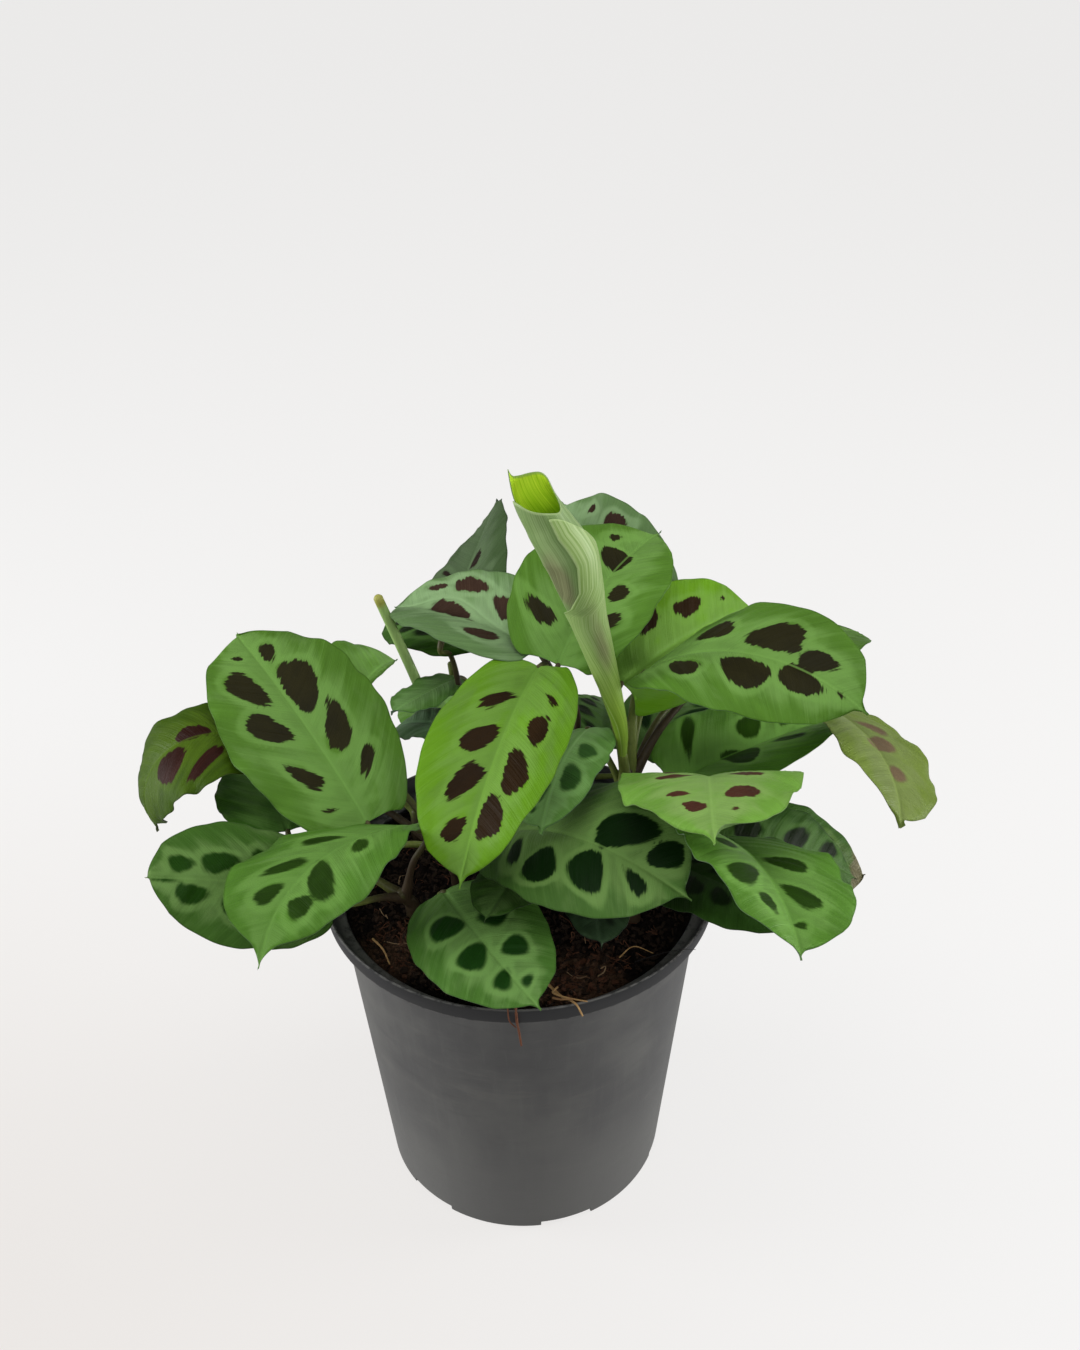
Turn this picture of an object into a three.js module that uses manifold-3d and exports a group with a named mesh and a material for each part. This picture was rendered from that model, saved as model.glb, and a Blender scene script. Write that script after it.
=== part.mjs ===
// Potted prayer plant: a nursery pot of soil with ten leafy shoots, in millimetres, +Z up.
// The origin is on the underside of the pot, in the middle of its base. The front of the plant faces -Y.
import * as THREE from 'three';
import Module from 'manifold-3d';

const library = await Module();
library.setup();
const { Manifold, Mesh: SolidMesh } = library;

// Driving dimensions
const POT_HEIGHT = 158;
const RIM_RADIUS = 85;
const BASE_RADIUS = 62.5;
const COLLAR_HEIGHT = 8.5;
const COLLAR_STEP = 5.5;
const POT_WALL = 1.8;
const POT_SIDES = 48;
const SOIL_LEVEL = 149;
const BLADE_THICKNESS = 0.8;
const GAP = 0.3;

// Small helpers
const degrees = Math.PI / 180;
const vector = (x, y, z) => new THREE.Vector3(x, y, z);
const mix = (a, b, t) => a + (b - a) * t;
const clamp01 = (t) => Math.min(Math.max(t, 0), 1);

// A closed geometry from a list of points and a list of triangles.
function geometryOf(points, triangles) {
  const geometry = new THREE.BufferGeometry();
  geometry.setAttribute('position', new THREE.Float32BufferAttribute(points.flatMap((p) => p.toArray()), 3));
  geometry.setIndex(triangles.flat());
  return geometry;
}

function solidOf(points, triangles) {
  const mesh = new SolidMesh({
    numProp: 3,
    vertProperties: Float32Array.from(points.flatMap((p) => p.toArray())),
    triVerts: Uint32Array.from(triangles.flat()),
  });
  mesh.merge();
  return Manifold.ofMesh(mesh);
}

function geometryOfSolid(solid) {
  const mesh = solid.getMesh();
  const geometry = new THREE.BufferGeometry();
  geometry.setAttribute('position', new THREE.BufferAttribute(mesh.vertProperties, 3));
  geometry.setIndex(new THREE.BufferAttribute(mesh.triVerts, 1));
  return geometry;
}

// Triangles that join rings of equal length, ring after ring, closed round each ring.
function ringTriangles(ringCount, sides) {
  const triangles = [];
  for (let ring = 0; ring + 1 < ringCount; ring += 1) {
    for (let side = 0; side < sides; side += 1) {
      const next = (side + 1) % sides;
      const a = ring * sides + side;
      const b = ring * sides + next;
      triangles.push([a, b, b + sides], [a, b + sides, a + sides]);
    }
  }
  return triangles;
}

// A tapered tube along a curve, with flat ends.
function tubeSolid(curve, radii, segments, sides) {
  const points = [];
  const frames = curve.computeFrenetFrames(segments, false);
  for (let i = 0; i <= segments; i += 1) {
    const centre = curve.getPointAt(i / segments);
    const radius = mix(radii[0], radii[1], i / segments);
    for (let side = 0; side < sides; side += 1) {
      const turn = (side / sides) * 2 * Math.PI;
      const offset = frames.normals[i].clone().multiplyScalar(Math.cos(turn) * radius);
      offset.addScaledVector(frames.binormals[i], Math.sin(turn) * radius);
      points.push(centre.clone().add(offset));
    }
  }
  const triangles = ringTriangles(segments + 1, sides);
  const last = segments * sides;
  for (let side = 1; side + 1 < sides; side += 1) {
    triangles.push([0, side + 1, side], [last, last + side, last + side + 1]);
  }
  return solidOf(points, triangles);
}

// Materials
const material = (color, roughness) => new THREE.MeshStandardMaterial({ color, roughness, metalness: 0 });
const materials = {
  pot: material(0x454547, 0.55),
  soil: material(0x2b1f18, 0.95),
  shoot: material(0x5f7a35, 0.6),
  fresh: material(0x6f9f2e, 0.45),
  mid: material(0x5a9638, 0.45),
  dark: material(0x3f6a34, 0.5),
  grey: material(0x5c8258, 0.55),
  rolled: material(0x93b656, 0.5),
};

// Blades: half widths as a share of the widest, from base (0) to tip (1)
const WIDEST_AT = 0.46;
const BODY_END = 0.985;
function halfWidthShare(s) {
  const towardsBase = 1 - clamp01((WIDEST_AT - s) / WIDEST_AT) ** 2.3;
  const towardsTip = 1 - clamp01((s - WIDEST_AT) / (BODY_END - WIDEST_AT)) ** 2.2;
  const body = s < WIDEST_AT ? towardsBase ** 0.52 : towardsTip ** 0.62;
  const drawnTip = 0.17 * clamp01((1 - s) / 0.14) ** 1.3;
  return Math.max(body, drawnTip, 0.015);
}

// Directions at s: along the rib, out of the upper face, and to the left of the rib.
function bladeFrame(leaf, s) {
  const heading = (leaf.heading + leaf.swing * s) * degrees;
  const slope = (leaf.rise - leaf.droop * s) * degrees;
  const roll = (leaf.roll + leaf.twist * s) * degrees;
  const along = vector(Math.cos(slope) * Math.cos(heading), Math.cos(slope) * Math.sin(heading), Math.sin(slope));
  const up = vector(-Math.sin(slope) * Math.cos(heading), -Math.sin(slope) * Math.sin(heading), Math.cos(slope));
  const side = up.clone().cross(along);
  const normal = up.clone().multiplyScalar(Math.cos(roll)).addScaledVector(side, Math.sin(roll));
  const left = side.clone().multiplyScalar(Math.cos(roll)).addScaledVector(up, -Math.sin(roll));
  return { along, normal, left };
}

// The rib, summed from short straight steps.
const RIB_STEPS = 60;
function ribPoints(leaf) {
  const points = [vector(...leaf.base)];
  for (let i = 0; i < RIB_STEPS; i += 1) {
    const { along } = bladeFrame(leaf, (i + 0.5) / RIB_STEPS);
    points.push(points[i].clone().addScaledVector(along, leaf.length / RIB_STEPS));
  }
  return points;
}

// A point of the blade's middle surface: s runs along the rib, across from -1 (right edge) to 1 (left edge).
const EDGE_CURL = -22 * degrees;
function bladePoint(leaf, rib, s, across) {
  const step = Math.min(Math.floor(s * RIB_STEPS), RIB_STEPS - 1);
  const onRib = rib[step].clone().lerp(rib[step + 1], s * RIB_STEPS - step);
  const { normal, left } = bladeFrame(leaf, s);
  const halfWidth = (leaf.width / 2) * halfWidthShare(s);
  const share = Math.abs(across);
  const fold = leaf.fold * degrees;
  const outward = (Math.sin(fold + EDGE_CURL * share) - Math.sin(fold)) / EDGE_CURL;
  const lift = (Math.cos(fold) - Math.cos(fold + EDGE_CURL * share)) / EDGE_CURL;
  const wavePhase = leaf.phase + (across > 0 ? 0 : 1.7);
  const wave = leaf.wave * Math.sin(2 * Math.PI * 1.6 * s + wavePhase) * share ** 2;
  onRib.addScaledVector(left, halfWidth * outward * Math.sign(across));
  onRib.addScaledVector(normal, halfWidth * lift + wave);
  return { point: onRib, normal };
}

// A blade as a closed sheet: an upper and a lower grid split by the same diagonals, and a rim between them.
const FULL_ROWS = [0, 0.03, 0.1, 0.2, 0.32, 0.46, 0.6, 0.74, 0.86, 0.94, 1];
const SMALL_ROWS = [0, 0.04, 0.14, 0.3, 0.46, 0.64, 0.8, 0.92, 1];
const FULL_COLUMNS = [-1, -0.62, -0.28, 0, 0.28, 0.62, 1];
const SMALL_COLUMNS = [-1, -0.5, 0, 0.5, 1];
function bladeGeometry(leaf) {
  const rows = leaf.length > 72 ? FULL_ROWS : SMALL_ROWS;
  const columns = leaf.length > 72 ? FULL_COLUMNS : SMALL_COLUMNS;
  const rib = ribPoints(leaf);
  const upper = [];
  const lower = [];
  for (const s of rows) {
    for (const across of columns) {
      const { point, normal } = bladePoint(leaf, rib, s, across);
      upper.push(point.clone().addScaledVector(normal, BLADE_THICKNESS / 2));
      lower.push(point.clone().addScaledVector(normal, -BLADE_THICKNESS / 2));
    }
  }
  const wide = columns.length;
  const count = upper.length;
  const triangles = [];
  for (let row = 0; row + 1 < rows.length; row += 1) {
    for (let column = 0; column + 1 < wide; column += 1) {
      const a = row * wide + column;
      const b = a + 1;
      const c = a + wide;
      const d = c + 1;
      triangles.push([a, b, d], [a, d, c]);
      triangles.push([a + count, d + count, b + count], [a + count, c + count, d + count]);
    }
  }
  const rim = [];
  for (let column = 0; column < wide; column += 1) rim.push(column);
  for (let row = 1; row < rows.length; row += 1) rim.push(row * wide + wide - 1);
  for (let column = wide - 2; column >= 0; column -= 1) rim.push((rows.length - 1) * wide + column);
  for (let row = rows.length - 2; row > 0; row -= 1) rim.push(row * wide);
  rim.forEach((a, i) => {
    const b = rim[(i + 1) % rim.length];
    triangles.push([a, a + count, b + count], [a, b + count, b]);
  });
  const flipped = triangles.map(([a, b, c]) => [a, c, b]);
  return geometryOf([...upper, ...lower], flipped);
}

// One blade, with the plain values that most blades share.
const usual = { swing: 0, rise: 10, droop: 25, roll: 0, twist: 0, fold: 10, wave: 0.8, phase: 0, tone: 'dark' };
const leaf = (name, base, values) => ({ ...usual, name, base, ...values });

// Shoots: where each stands in the soil, how tall its stem is, and its blades.
// Places are whole millimetres and angles steps of five degrees. Those of the front blades were solved from
// points marked on the photo and rounded, and then partly changed by hand. A heading of 0 points along +X and
// 90 along +Y. A stalk leaves the stem at the height "from" and may pass "via" points.
const shoots = [
  {
    name: 'shoot_left',
    foot: [-27, 0],
    top: [-30, -2, 172],
    leaves: [
      leaf('leaf_left_large', [-60, -15, 197],
        { heading: 130, swing: -5, rise: 40, droop: 30, roll: 5, twist: 5, length: 107, width: 72, tone: 'mid' }),
      leaf('leaf_left_far', [-101, 22, 212],
        { heading: 180, swing: 5, rise: 35, droop: 135, twist: 20, length: 91, width: 58, fold: 5, tone: 'mid' }),
      leaf('leaf_left_behind', [-75, 39, 213],
        { heading: 75, rise: 5, droop: 35, roll: -30, length: 77, width: 48, tone: 'grey' }),
    ],
  },
  {
    name: 'shoot_left_front',
    foot: [-46, -18],
    top: [-50, -20, 163],
    leaves: [
      leaf('leaf_left_front', [-42, -28, 206],
        { heading: -150, swing: 55, rise: 20, droop: 30, roll: -35, twist: 40, length: 102, width: 68, fold: 15,
          tone: 'mid' }),
      leaf('leaf_left_low', [-76, -35, 176],
        { heading: -150, rise: 35, droop: 10, roll: 35, twist: 5, length: 84, width: 54, fold: 5 }),
      leaf('leaf_left_under', [-74, -7, 183],
        { heading: 150, swing: -15, rise: -5, droop: 5, roll: -35, length: 78, width: 50 }),
    ],
  },
  {
    name: 'shoot_back_left',
    foot: [-20, 42],
    top: [-21, 44, 176],
    leaves: [
      leaf('leaf_top_left_upright', [-30, 55, 246],
        { heading: 70, swing: 5, rise: 25, droop: 15, roll: 10, twist: 50, length: 82, width: 49, fold: 15,
          tone: 'grey', via: [[-20, 50, 200], [-24, 53, 222]] }),
      leaf('leaf_top_left_under', [-13, 64, 235],
        { heading: 135, rise: 0, droop: 40, roll: 10, twist: 5, length: 62, width: 38, tone: 'grey' }),
      leaf('leaf_small_left', [-26, 66, 215],
        { heading: -130, swing: -5, rise: 10, droop: 15, roll: -5, length: 40, width: 23 }),
      leaf('leaf_small_left_under', [-26, 29, 211],
        { heading: 135, rise: -5, droop: 35, roll: 5, twist: 10, length: 45, width: 27, tone: 'grey' }),
    ],
  },
  {
    name: 'shoot_centre',
    foot: [12, 26],
    top: [12, 26, 180],
    leaves: [
      leaf('leaf_centre', [10, 13, 254],
        { heading: -115, swing: 10, rise: -10, droop: 25, twist: -20, length: 101, width: 60, fold: 20,
          tone: 'fresh' }),
      leaf('leaf_top_centre', [18, 14, 253],
        { heading: 65, swing: -20, rise: 30, droop: 25, roll: -10, twist: 5, length: 84, width: 57, fold: 20,
          tone: 'mid' }),
      leaf('leaf_top_left', [10, 24, 254],
        { heading: 140, rise: 10, droop: 30, roll: 15, twist: -10, length: 80, width: 52, fold: 30, tone: 'grey' }),
    ],
  },
  {
    name: 'shoot_right',
    foot: [46, 4],
    top: [46, 3, 206],
    leaves: [
      leaf('leaf_right_large', [55, 23, 243],
        { heading: -30, swing: -5, rise: 45, droop: 75, roll: 10, twist: -50, length: 101, width: 63,
          tone: 'mid' }),
      leaf('leaf_right_behind', [50, 28, 238],
        { heading: 40, swing: 10, rise: 15, droop: 35, roll: -30, twist: -5, length: 87, width: 52,
          tone: 'fresh' }),
      leaf('leaf_top_back', [58, 56, 226],
        { heading: 110, rise: 35, droop: 25, roll: 25, twist: 20, length: 98, width: 63, tone: 'grey' }),
      leaf('leaf_small_centre', [30, 14, 221],
        { heading: -115, swing: 15, rise: 15, droop: 30, roll: -15, twist: -10, length: 71, width: 39, fold: 5,
          tone: 'grey' }),
      leaf('leaf_right_far', [124, 38, 217],
        { heading: -55, swing: -45, rise: 15, droop: 25, roll: 25, twist: 10, length: 98, width: 60, fold: 15,
          tone: 'mid', from: 196, via: [[64, 20, 220], [92, 46, 226]] }),
      leaf('leaf_right_back', [92, 62, 225],
        { heading: 35, rise: 0, droop: 25, roll: 5, twist: 5, length: 98, width: 62, from: 194,
          via: [[60, 24, 216]] }),
    ],
  },
  {
    name: 'shoot_right_low',
    foot: [60, 4],
    top: [62, 4, 166],
    leaves: [
      leaf('leaf_right_mid', [65, 3, 200],
        { heading: 35, rise: 0, droop: 10, roll: -5, twist: 25, length: 105, width: 61, fold: 25 }),
      leaf('leaf_right_low', [79, -32, 195],
        { heading: 20, rise: -15, droop: 30, roll: -15, twist: -15, length: 81, width: 49, steep: 0.1,
          via: [[66, -16, 194]] }),
      leaf('leaf_right_lowest', [86, -6, 181],
        { heading: 10, swing: -5, rise: -15, droop: 25, roll: -15, twist: -10, length: 72, width: 43 }),
    ],
  },
  {
    name: 'shoot_front_right',
    foot: [48, -24],
    top: [50, -25, 168],
    leaves: [
      leaf('leaf_front_right_bright', [78, -15, 211],
        { heading: -100, swing: 5, rise: 50, droop: 45, roll: -5, length: 106, width: 69,
          tone: 'fresh' }),
      leaf('leaf_front_right_large', [79, -54, 215],
        { heading: -75, swing: -15, rise: 30, droop: 30, roll: 20, length: 95, width: 65, fold: 20,
          tone: 'mid', via: [[58, -15, 192], [69, -28, 204]] }),
      leaf('leaf_front_right_under', [56, -38, 191],
        { heading: -55, rise: 25, droop: 20, roll: 5, twist: -5, length: 81, width: 50 }),
      leaf('leaf_front_hanging', [30, -32, 177],
        { heading: -90, rise: 35, droop: 40, roll: 5, length: 56, width: 35 }),
    ],
  },
  {
    name: 'shoot_front',
    foot: [-10, -12],
    top: [-10, -13, 168],
    leaves: [
      leaf('leaf_front_centre', [-6, -16, 190],
        { heading: -50, swing: 5, rise: 40, droop: 50, roll: -5, twist: -25, length: 104, width: 66 }),
      leaf('leaf_front_low', [-31, -33, 174],
        { heading: -70, swing: 15, rise: 15, droop: 25, roll: -15, twist: 10, length: 79, width: 52,
          tone: 'mid' }),
      leaf('leaf_front_small', [6, -24, 180],
        { heading: -110, swing: -5, rise: 25, droop: 30, twist: -5, length: 49, width: 30, tone: 'mid' }),
    ],
  },
  {
    name: 'shoot_back',
    foot: [18, 56],
    top: [18, 57, 164],
    leaves: [
      leaf('leaf_back_centre', [26, 66, 168], { heading: 84, rise: 5, droop: 35, roll: -10, length: 66, width: 44 }),
      leaf('leaf_back_upper', [0, 52, 192], { heading: 95, rise: 0, droop: 25, length: 74, width: 46 }),
      leaf('leaf_back_right', [54, 60, 174],
        { heading: 50, rise: 20, droop: 50, roll: 5, length: 88, width: 54 }),
    ],
  },
  {
    name: 'shoot_back_far_left',
    foot: [-46, 36],
    top: [-46, 38, 162],
    leaves: [
      leaf('leaf_back_left', [-54, 46, 172], { heading: 150, rise: 20, droop: 50, roll: -5, length: 84, width: 52 }),
      leaf('leaf_back_left_mid', [-22, 68, 176],
        { heading: 115, rise: 5, droop: 45, roll: 5, length: 90, width: 56 }),
    ],
  },
];

// Shoots: a stem sunk in the soil, with a stalk for every blade, joined in one solid
const STEM_RADII = [3.4, 2.6];
const STALK_RADII = [1.8, 0.9];
const STEM_SIDES = 7;
const STALK_SIDES = 5;
const STEM_SUNK = 12;
const STALK_STOPS_SHORT = 0.9;
const stemBottom = SOIL_LEVEL - STEM_SUNK;

function stemCurve(shoot) {
  const [x, y] = shoot.foot;
  const top = vector(...shoot.top);
  const straight = vector(x, y, SOIL_LEVEL + 6);
  return new THREE.CatmullRomCurve3([vector(x, y, stemBottom), straight, straight.clone().lerp(top, 0.5), top]);
}

function stalkCurve(shoot, blade) {
  const stem = stemCurve(shoot);
  const height = blade.from ?? mix(SOIL_LEVEL + 10, shoot.top[2] - 3, 0.7);
  const share = clamp01((height - stemBottom) / (shoot.top[2] - stemBottom));
  const start = stem.getPointAt(share);
  const { along } = bladeFrame(blade, 0);
  const arrive = along.clone().add(vector(0, 0, blade.steep ?? 0.7)).normalize();
  const end = vector(...blade.base).addScaledVector(along, -STALK_STOPS_SHORT);
  const before = end.clone().addScaledVector(arrive, -9);
  const via = (blade.via ?? []).map((p) => vector(...p));
  const points = [start];
  if (via.length) points.push(...via);
  else points.push(vector(mix(start.x, before.x, 0.4), mix(start.y, before.y, 0.4), mix(start.z, before.z, 0.55)));
  points.push(before, end);
  return new THREE.CatmullRomCurve3(points, false, 'centripetal');
}

function shootSolid(shoot) {
  let solid = tubeSolid(stemCurve(shoot), STEM_RADII, 5, STEM_SIDES);
  for (const blade of shoot.leaves) {
    solid = solid.add(tubeSolid(stalkCurve(shoot, blade), STALK_RADII, 6, STALK_SIDES));
  }
  for (const twig of shoot.twigs ?? []) {
    const curve = new THREE.CatmullRomCurve3(twig.points.map((p) => vector(...p)));
    solid = solid.add(tubeSolid(curve, twig.radii, 6, STALK_SIDES));
  }
  return solid;
}

// The dry stub stands on the shoot at the back left, and the rolled leaf's stalk on the right.
shoots.find((s) => s.name === 'shoot_back_left').twigs = [
  { points: [[-21, 44, 162], [-25, 62, 188], [-29, 75, 217]], radii: [1.6, 1.2] },
];
shoots.find((s) => s.name === 'shoot_right').twigs = [
  { points: [[46, 3, 190], [45.5, 1, 205], [44, 0, 215]], radii: [2.4, 1.8] },
];

// A cane that was cut off leans out of the soil at the back left.
const CANE_POINTS = [[-26, 60, 137], [-27, 60, 155], [-39, 65, 195], [-44, 66, 213], [-58, 61, 260]];
const CANE_RADII = [2.3, 1.9];
function caneSolid() {
  const curve = new THREE.CatmullRomCurve3(CANE_POINTS.map((p) => vector(...p)), false, 'centripetal');
  return tubeSolid(curve, CANE_RADII, 8, STEM_SIDES);
}

// Rolled leaf: a scroll round a curved centre line, hollow at its mouth
const ROLL_CENTRES = [[44, 0, 216], [42, 1, 232], [37, 3, 255], [29, 6, 283], [22, 9, 310], [13, 10, 324], [4, 12, 336]];
const ROLL_RADII = [1.7, 3.9, 6.6, 10.4, 13.2, 10, 8.5];
const ROLL_ROWS = 12;
const ROLL_SIDES = 14;
const MOUTH_DEPTH = 0.2;
function rolledLeafGeometry() {
  const line = new THREE.CatmullRomCurve3(ROLL_CENTRES.map((p) => vector(...p)), false, 'centripetal');
  const radiusAt = (t) => {
    const position = t * (ROLL_RADII.length - 1);
    const index = Math.min(Math.floor(position), ROLL_RADII.length - 2);
    return mix(ROLL_RADII[index], ROLL_RADII[index + 1], position - index);
  };
  const left = vector(-1, 0, 0);
  const ringPoint = (t, side, inset) => {
    const along = line.getTangent(t);
    const out = left.clone().addScaledVector(along, -left.dot(along)).normalize();
    const front = along.clone().cross(out);
    const turn = (side / ROLL_SIDES) * 2 * Math.PI;
    // The mouth slants: its left side runs up to the tip and its right side stops lower.
    const lowered = 0.14 * (1 - Math.cos(turn)) * clamp01((t - 0.55) / 0.45);
    const height = t - lowered;
    const radius = radiusAt(height) - inset;
    const direction = out.multiplyScalar(Math.cos(turn)).addScaledVector(front, Math.sin(turn));
    return line.getPoint(height).addScaledVector(direction, radius);
  };
  const points = [];
  for (let row = 0; row <= ROLL_ROWS; row += 1) {
    for (let side = 0; side < ROLL_SIDES; side += 1) points.push(ringPoint(row / ROLL_ROWS, side, 0));
  }
  for (let row = 0; row <= 3; row += 1) {
    for (let side = 0; side < ROLL_SIDES; side += 1) {
      points.push(ringPoint(1 - (row / 3) * MOUTH_DEPTH, side, 1 + row * 0.9));
    }
  }
  const rings = ROLL_ROWS + 1 + 4;
  const triangles = ringTriangles(rings, ROLL_SIDES);
  const last = (rings - 1) * ROLL_SIDES;
  for (let side = 1; side + 1 < ROLL_SIDES; side += 1) {
    triangles.push([0, side + 1, side], [last, last + side, last + side + 1]);
  }
  return geometryOfSolid(solidOf(points, triangles));
}

// Pot: a turned shell with a stepped collar, a foot ring and a middle pad, then notches and drain holes cut
const collarBottom = POT_HEIGHT - COLLAR_HEIGHT;
const bodyTopRadius = RIM_RADIUS - COLLAR_STEP - 1.5;
const POT_FLOOR = 5;
const FOOT_HEIGHT = 2.6;
const PAD_RADIUS = 22;
const FOOT_INNER_RADIUS = 55;
function turnedSolid(profile) {
  const points = [];
  for (const [radius, z] of profile) {
    for (let side = 0; side < POT_SIDES; side += 1) {
      const turn = (side / POT_SIDES) * 2 * Math.PI;
      points.push(vector(radius * Math.cos(turn), radius * Math.sin(turn), z));
    }
  }
  const triangles = ringTriangles(profile.length, POT_SIDES);
  const bottom = points.push(vector(0, 0, profile[0][1])) - 1;
  const top = points.push(vector(0, 0, profile[profile.length - 1][1])) - 1;
  const last = (profile.length - 1) * POT_SIDES;
  for (let side = 0; side < POT_SIDES; side += 1) {
    const next = (side + 1) % POT_SIDES;
    triangles.push([bottom, next, side], [top, last + side, last + next]);
  }
  return solidOf(points, triangles);
}

function potSolid() {
  const outside = turnedSolid([
    [BASE_RADIUS - 2, 0],
    [BASE_RADIUS, 1.5],
    [bodyTopRadius, collarBottom - 1.2],
    [RIM_RADIUS - 1.8, collarBottom],
    [RIM_RADIUS - 1.2, collarBottom + 0.8],
    [RIM_RADIUS, POT_HEIGHT - 0.8],
    [RIM_RADIUS - 0.5, POT_HEIGHT],
  ]);
  const inside = turnedSolid([
    [BASE_RADIUS - POT_WALL - 1, POT_FLOOR],
    [BASE_RADIUS - POT_WALL + 0.5, POT_FLOOR + 3],
    [bodyTopRadius - POT_WALL, collarBottom - 3],
    [bodyTopRadius - POT_WALL, collarBottom + 0.2],
    [RIM_RADIUS - POT_WALL - 1.4, collarBottom + 1.4],
    [RIM_RADIUS - POT_WALL - 0.4, POT_HEIGHT - 0.6],
    [RIM_RADIUS - POT_WALL + 0.2, POT_HEIGHT + 1],
  ]);
  const channel = Manifold.cylinder(FOOT_HEIGHT + 1, FOOT_INNER_RADIUS, FOOT_INNER_RADIUS - 1, POT_SIDES)
    .subtract(Manifold.cylinder(FOOT_HEIGHT + 1, PAD_RADIUS, PAD_RADIUS + 0.6, 24))
    .translate(0, 0, -1);
  let pot = outside.subtract(inside).subtract(channel);
  const holeRing = (PAD_RADIUS + FOOT_INNER_RADIUS) / 2;
  const hole = Manifold.cylinder(POT_FLOOR + 4, 5, 5, 10).translate(holeRing, 0, -1);
  const notch = Manifold.cube([12, 22, 3.4], true).translate(BASE_RADIUS - 4, 0, 0.5);
  for (let i = 0; i < 8; i += 1) pot = pot.subtract(hole.rotate(0, 0, 22.5 + i * 45));
  for (let i = 0; i < 6; i += 1) pot = pot.subtract(notch.rotate(0, 0, -74 + i * 60));
  return pot;
}

// Soil: fills the pot, with a gently mounded and lumpy top and a plain hole round every stem
const SOIL_SIDES = 36;
const SOIL_RINGS = [0.14, 0.3, 0.46, 0.62, 0.78, 0.9, 1];
function soilHeight(x, y) {
  const distance = Math.hypot(x, y) / bodyTopRadius;
  const mound = 2.2 * (1 - distance ** 2);
  const lumps = 0.7 * Math.sin(x / 7 + 1) * Math.cos(y / 9) + 0.4 * Math.sin((x + y) / 4.5);
  return SOIL_LEVEL + mound - 1.2 + lumps * (1 - distance ** 6);
}

function soilSolid() {
  const soilRadius = bodyTopRadius - POT_WALL - GAP - 0.1;
  const baseRadius = BASE_RADIUS - POT_WALL - 1 - GAP - 0.1;
  const points = [];
  for (const [radius, z] of [[baseRadius, POT_FLOOR + GAP], [baseRadius + 1.4, POT_FLOOR + 3.5],
    [soilRadius, collarBottom - 3]]) {
    for (let side = 0; side < SOIL_SIDES; side += 1) {
      const turn = (side / SOIL_SIDES) * 2 * Math.PI;
      points.push(vector(radius * Math.cos(turn), radius * Math.sin(turn), z));
    }
  }
  for (const share of SOIL_RINGS.toReversed()) {
    for (let side = 0; side < SOIL_SIDES; side += 1) {
      const turn = (side / SOIL_SIDES) * 2 * Math.PI;
      const x = soilRadius * share * Math.cos(turn);
      const y = soilRadius * share * Math.sin(turn);
      points.push(vector(x, y, soilHeight(x, y)));
    }
  }
  const rings = 3 + SOIL_RINGS.length;
  const triangles = ringTriangles(rings, SOIL_SIDES);
  const bottom = points.push(vector(0, 0, POT_FLOOR + GAP)) - 1;
  const top = points.push(vector(0, 0, soilHeight(0, 0))) - 1;
  const last = (rings - 1) * SOIL_SIDES;
  for (let side = 0; side < SOIL_SIDES; side += 1) {
    const next = (side + 1) % SOIL_SIDES;
    triangles.push([bottom, next, side], [top, last + side, last + next]);
  }
  let soil = solidOf(points, triangles);
  for (const shoot of shoots) {
    const hole = Manifold.cylinder(STEM_SUNK + 20, STEM_RADII[0] + GAP + 0.3, STEM_RADII[0] + GAP + 0.3, 10);
    soil = soil.subtract(hole.translate(shoot.foot[0], shoot.foot[1], stemBottom - GAP));
  }
  const caneHole = Manifold.cylinder(STEM_SUNK + 20, CANE_RADII[0] + GAP + 0.7, CANE_RADII[0] + GAP + 0.7, 10);
  soil = soil.subtract(caneHole.translate(CANE_POINTS[0][0] - 0.2, CANE_POINTS[0][1], stemBottom - GAP));
  return soil;
}

// The scene
const plant = new THREE.Group();
function addMesh(name, geometry, surface) {
  const mesh = new THREE.Mesh(geometry, surface);
  mesh.name = name;
  plant.add(mesh);
}
addMesh('pot', geometryOfSolid(potSolid()), materials.pot);
addMesh('soil', geometryOfSolid(soilSolid()), materials.soil);
for (const shoot of shoots) {
  addMesh(shoot.name, geometryOfSolid(shootSolid(shoot)), materials.shoot);
  shoot.leaves.forEach((blade, i) => {
    addMesh(blade.name, bladeGeometry({ ...blade, phase: i * 1.3 }), materials[blade.tone]);
  });
}
addMesh('cut_cane', geometryOfSolid(caneSolid()), materials.shoot);
addMesh('rolled_leaf', rolledLeafGeometry(), materials.rolled);

export default plant;
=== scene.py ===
import math

import bmesh
import bpy
import numpy as np
from mathutils import Matrix, Vector


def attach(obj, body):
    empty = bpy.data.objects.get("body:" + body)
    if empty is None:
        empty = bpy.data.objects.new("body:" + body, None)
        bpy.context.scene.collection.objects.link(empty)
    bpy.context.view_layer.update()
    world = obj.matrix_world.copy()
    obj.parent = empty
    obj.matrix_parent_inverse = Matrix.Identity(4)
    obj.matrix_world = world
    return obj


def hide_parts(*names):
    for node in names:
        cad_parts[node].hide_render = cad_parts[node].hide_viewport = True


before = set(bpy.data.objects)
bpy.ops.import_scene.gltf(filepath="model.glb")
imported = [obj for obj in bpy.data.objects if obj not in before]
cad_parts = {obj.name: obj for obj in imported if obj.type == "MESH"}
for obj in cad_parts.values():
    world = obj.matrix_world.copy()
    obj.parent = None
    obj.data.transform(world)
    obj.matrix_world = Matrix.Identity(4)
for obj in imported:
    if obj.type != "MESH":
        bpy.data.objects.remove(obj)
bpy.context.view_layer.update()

# Sizes are in millimetres, as in the solids, and become metres when a mesh is made.
MM = 0.001
SOIL_LEVEL = 149.0
POT_HEIGHT = 158.0
BASE_RADIUS = 64.0
BODY_TOP_RADIUS = 78.0
COLLAR_BOTTOM = 149.5
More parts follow.
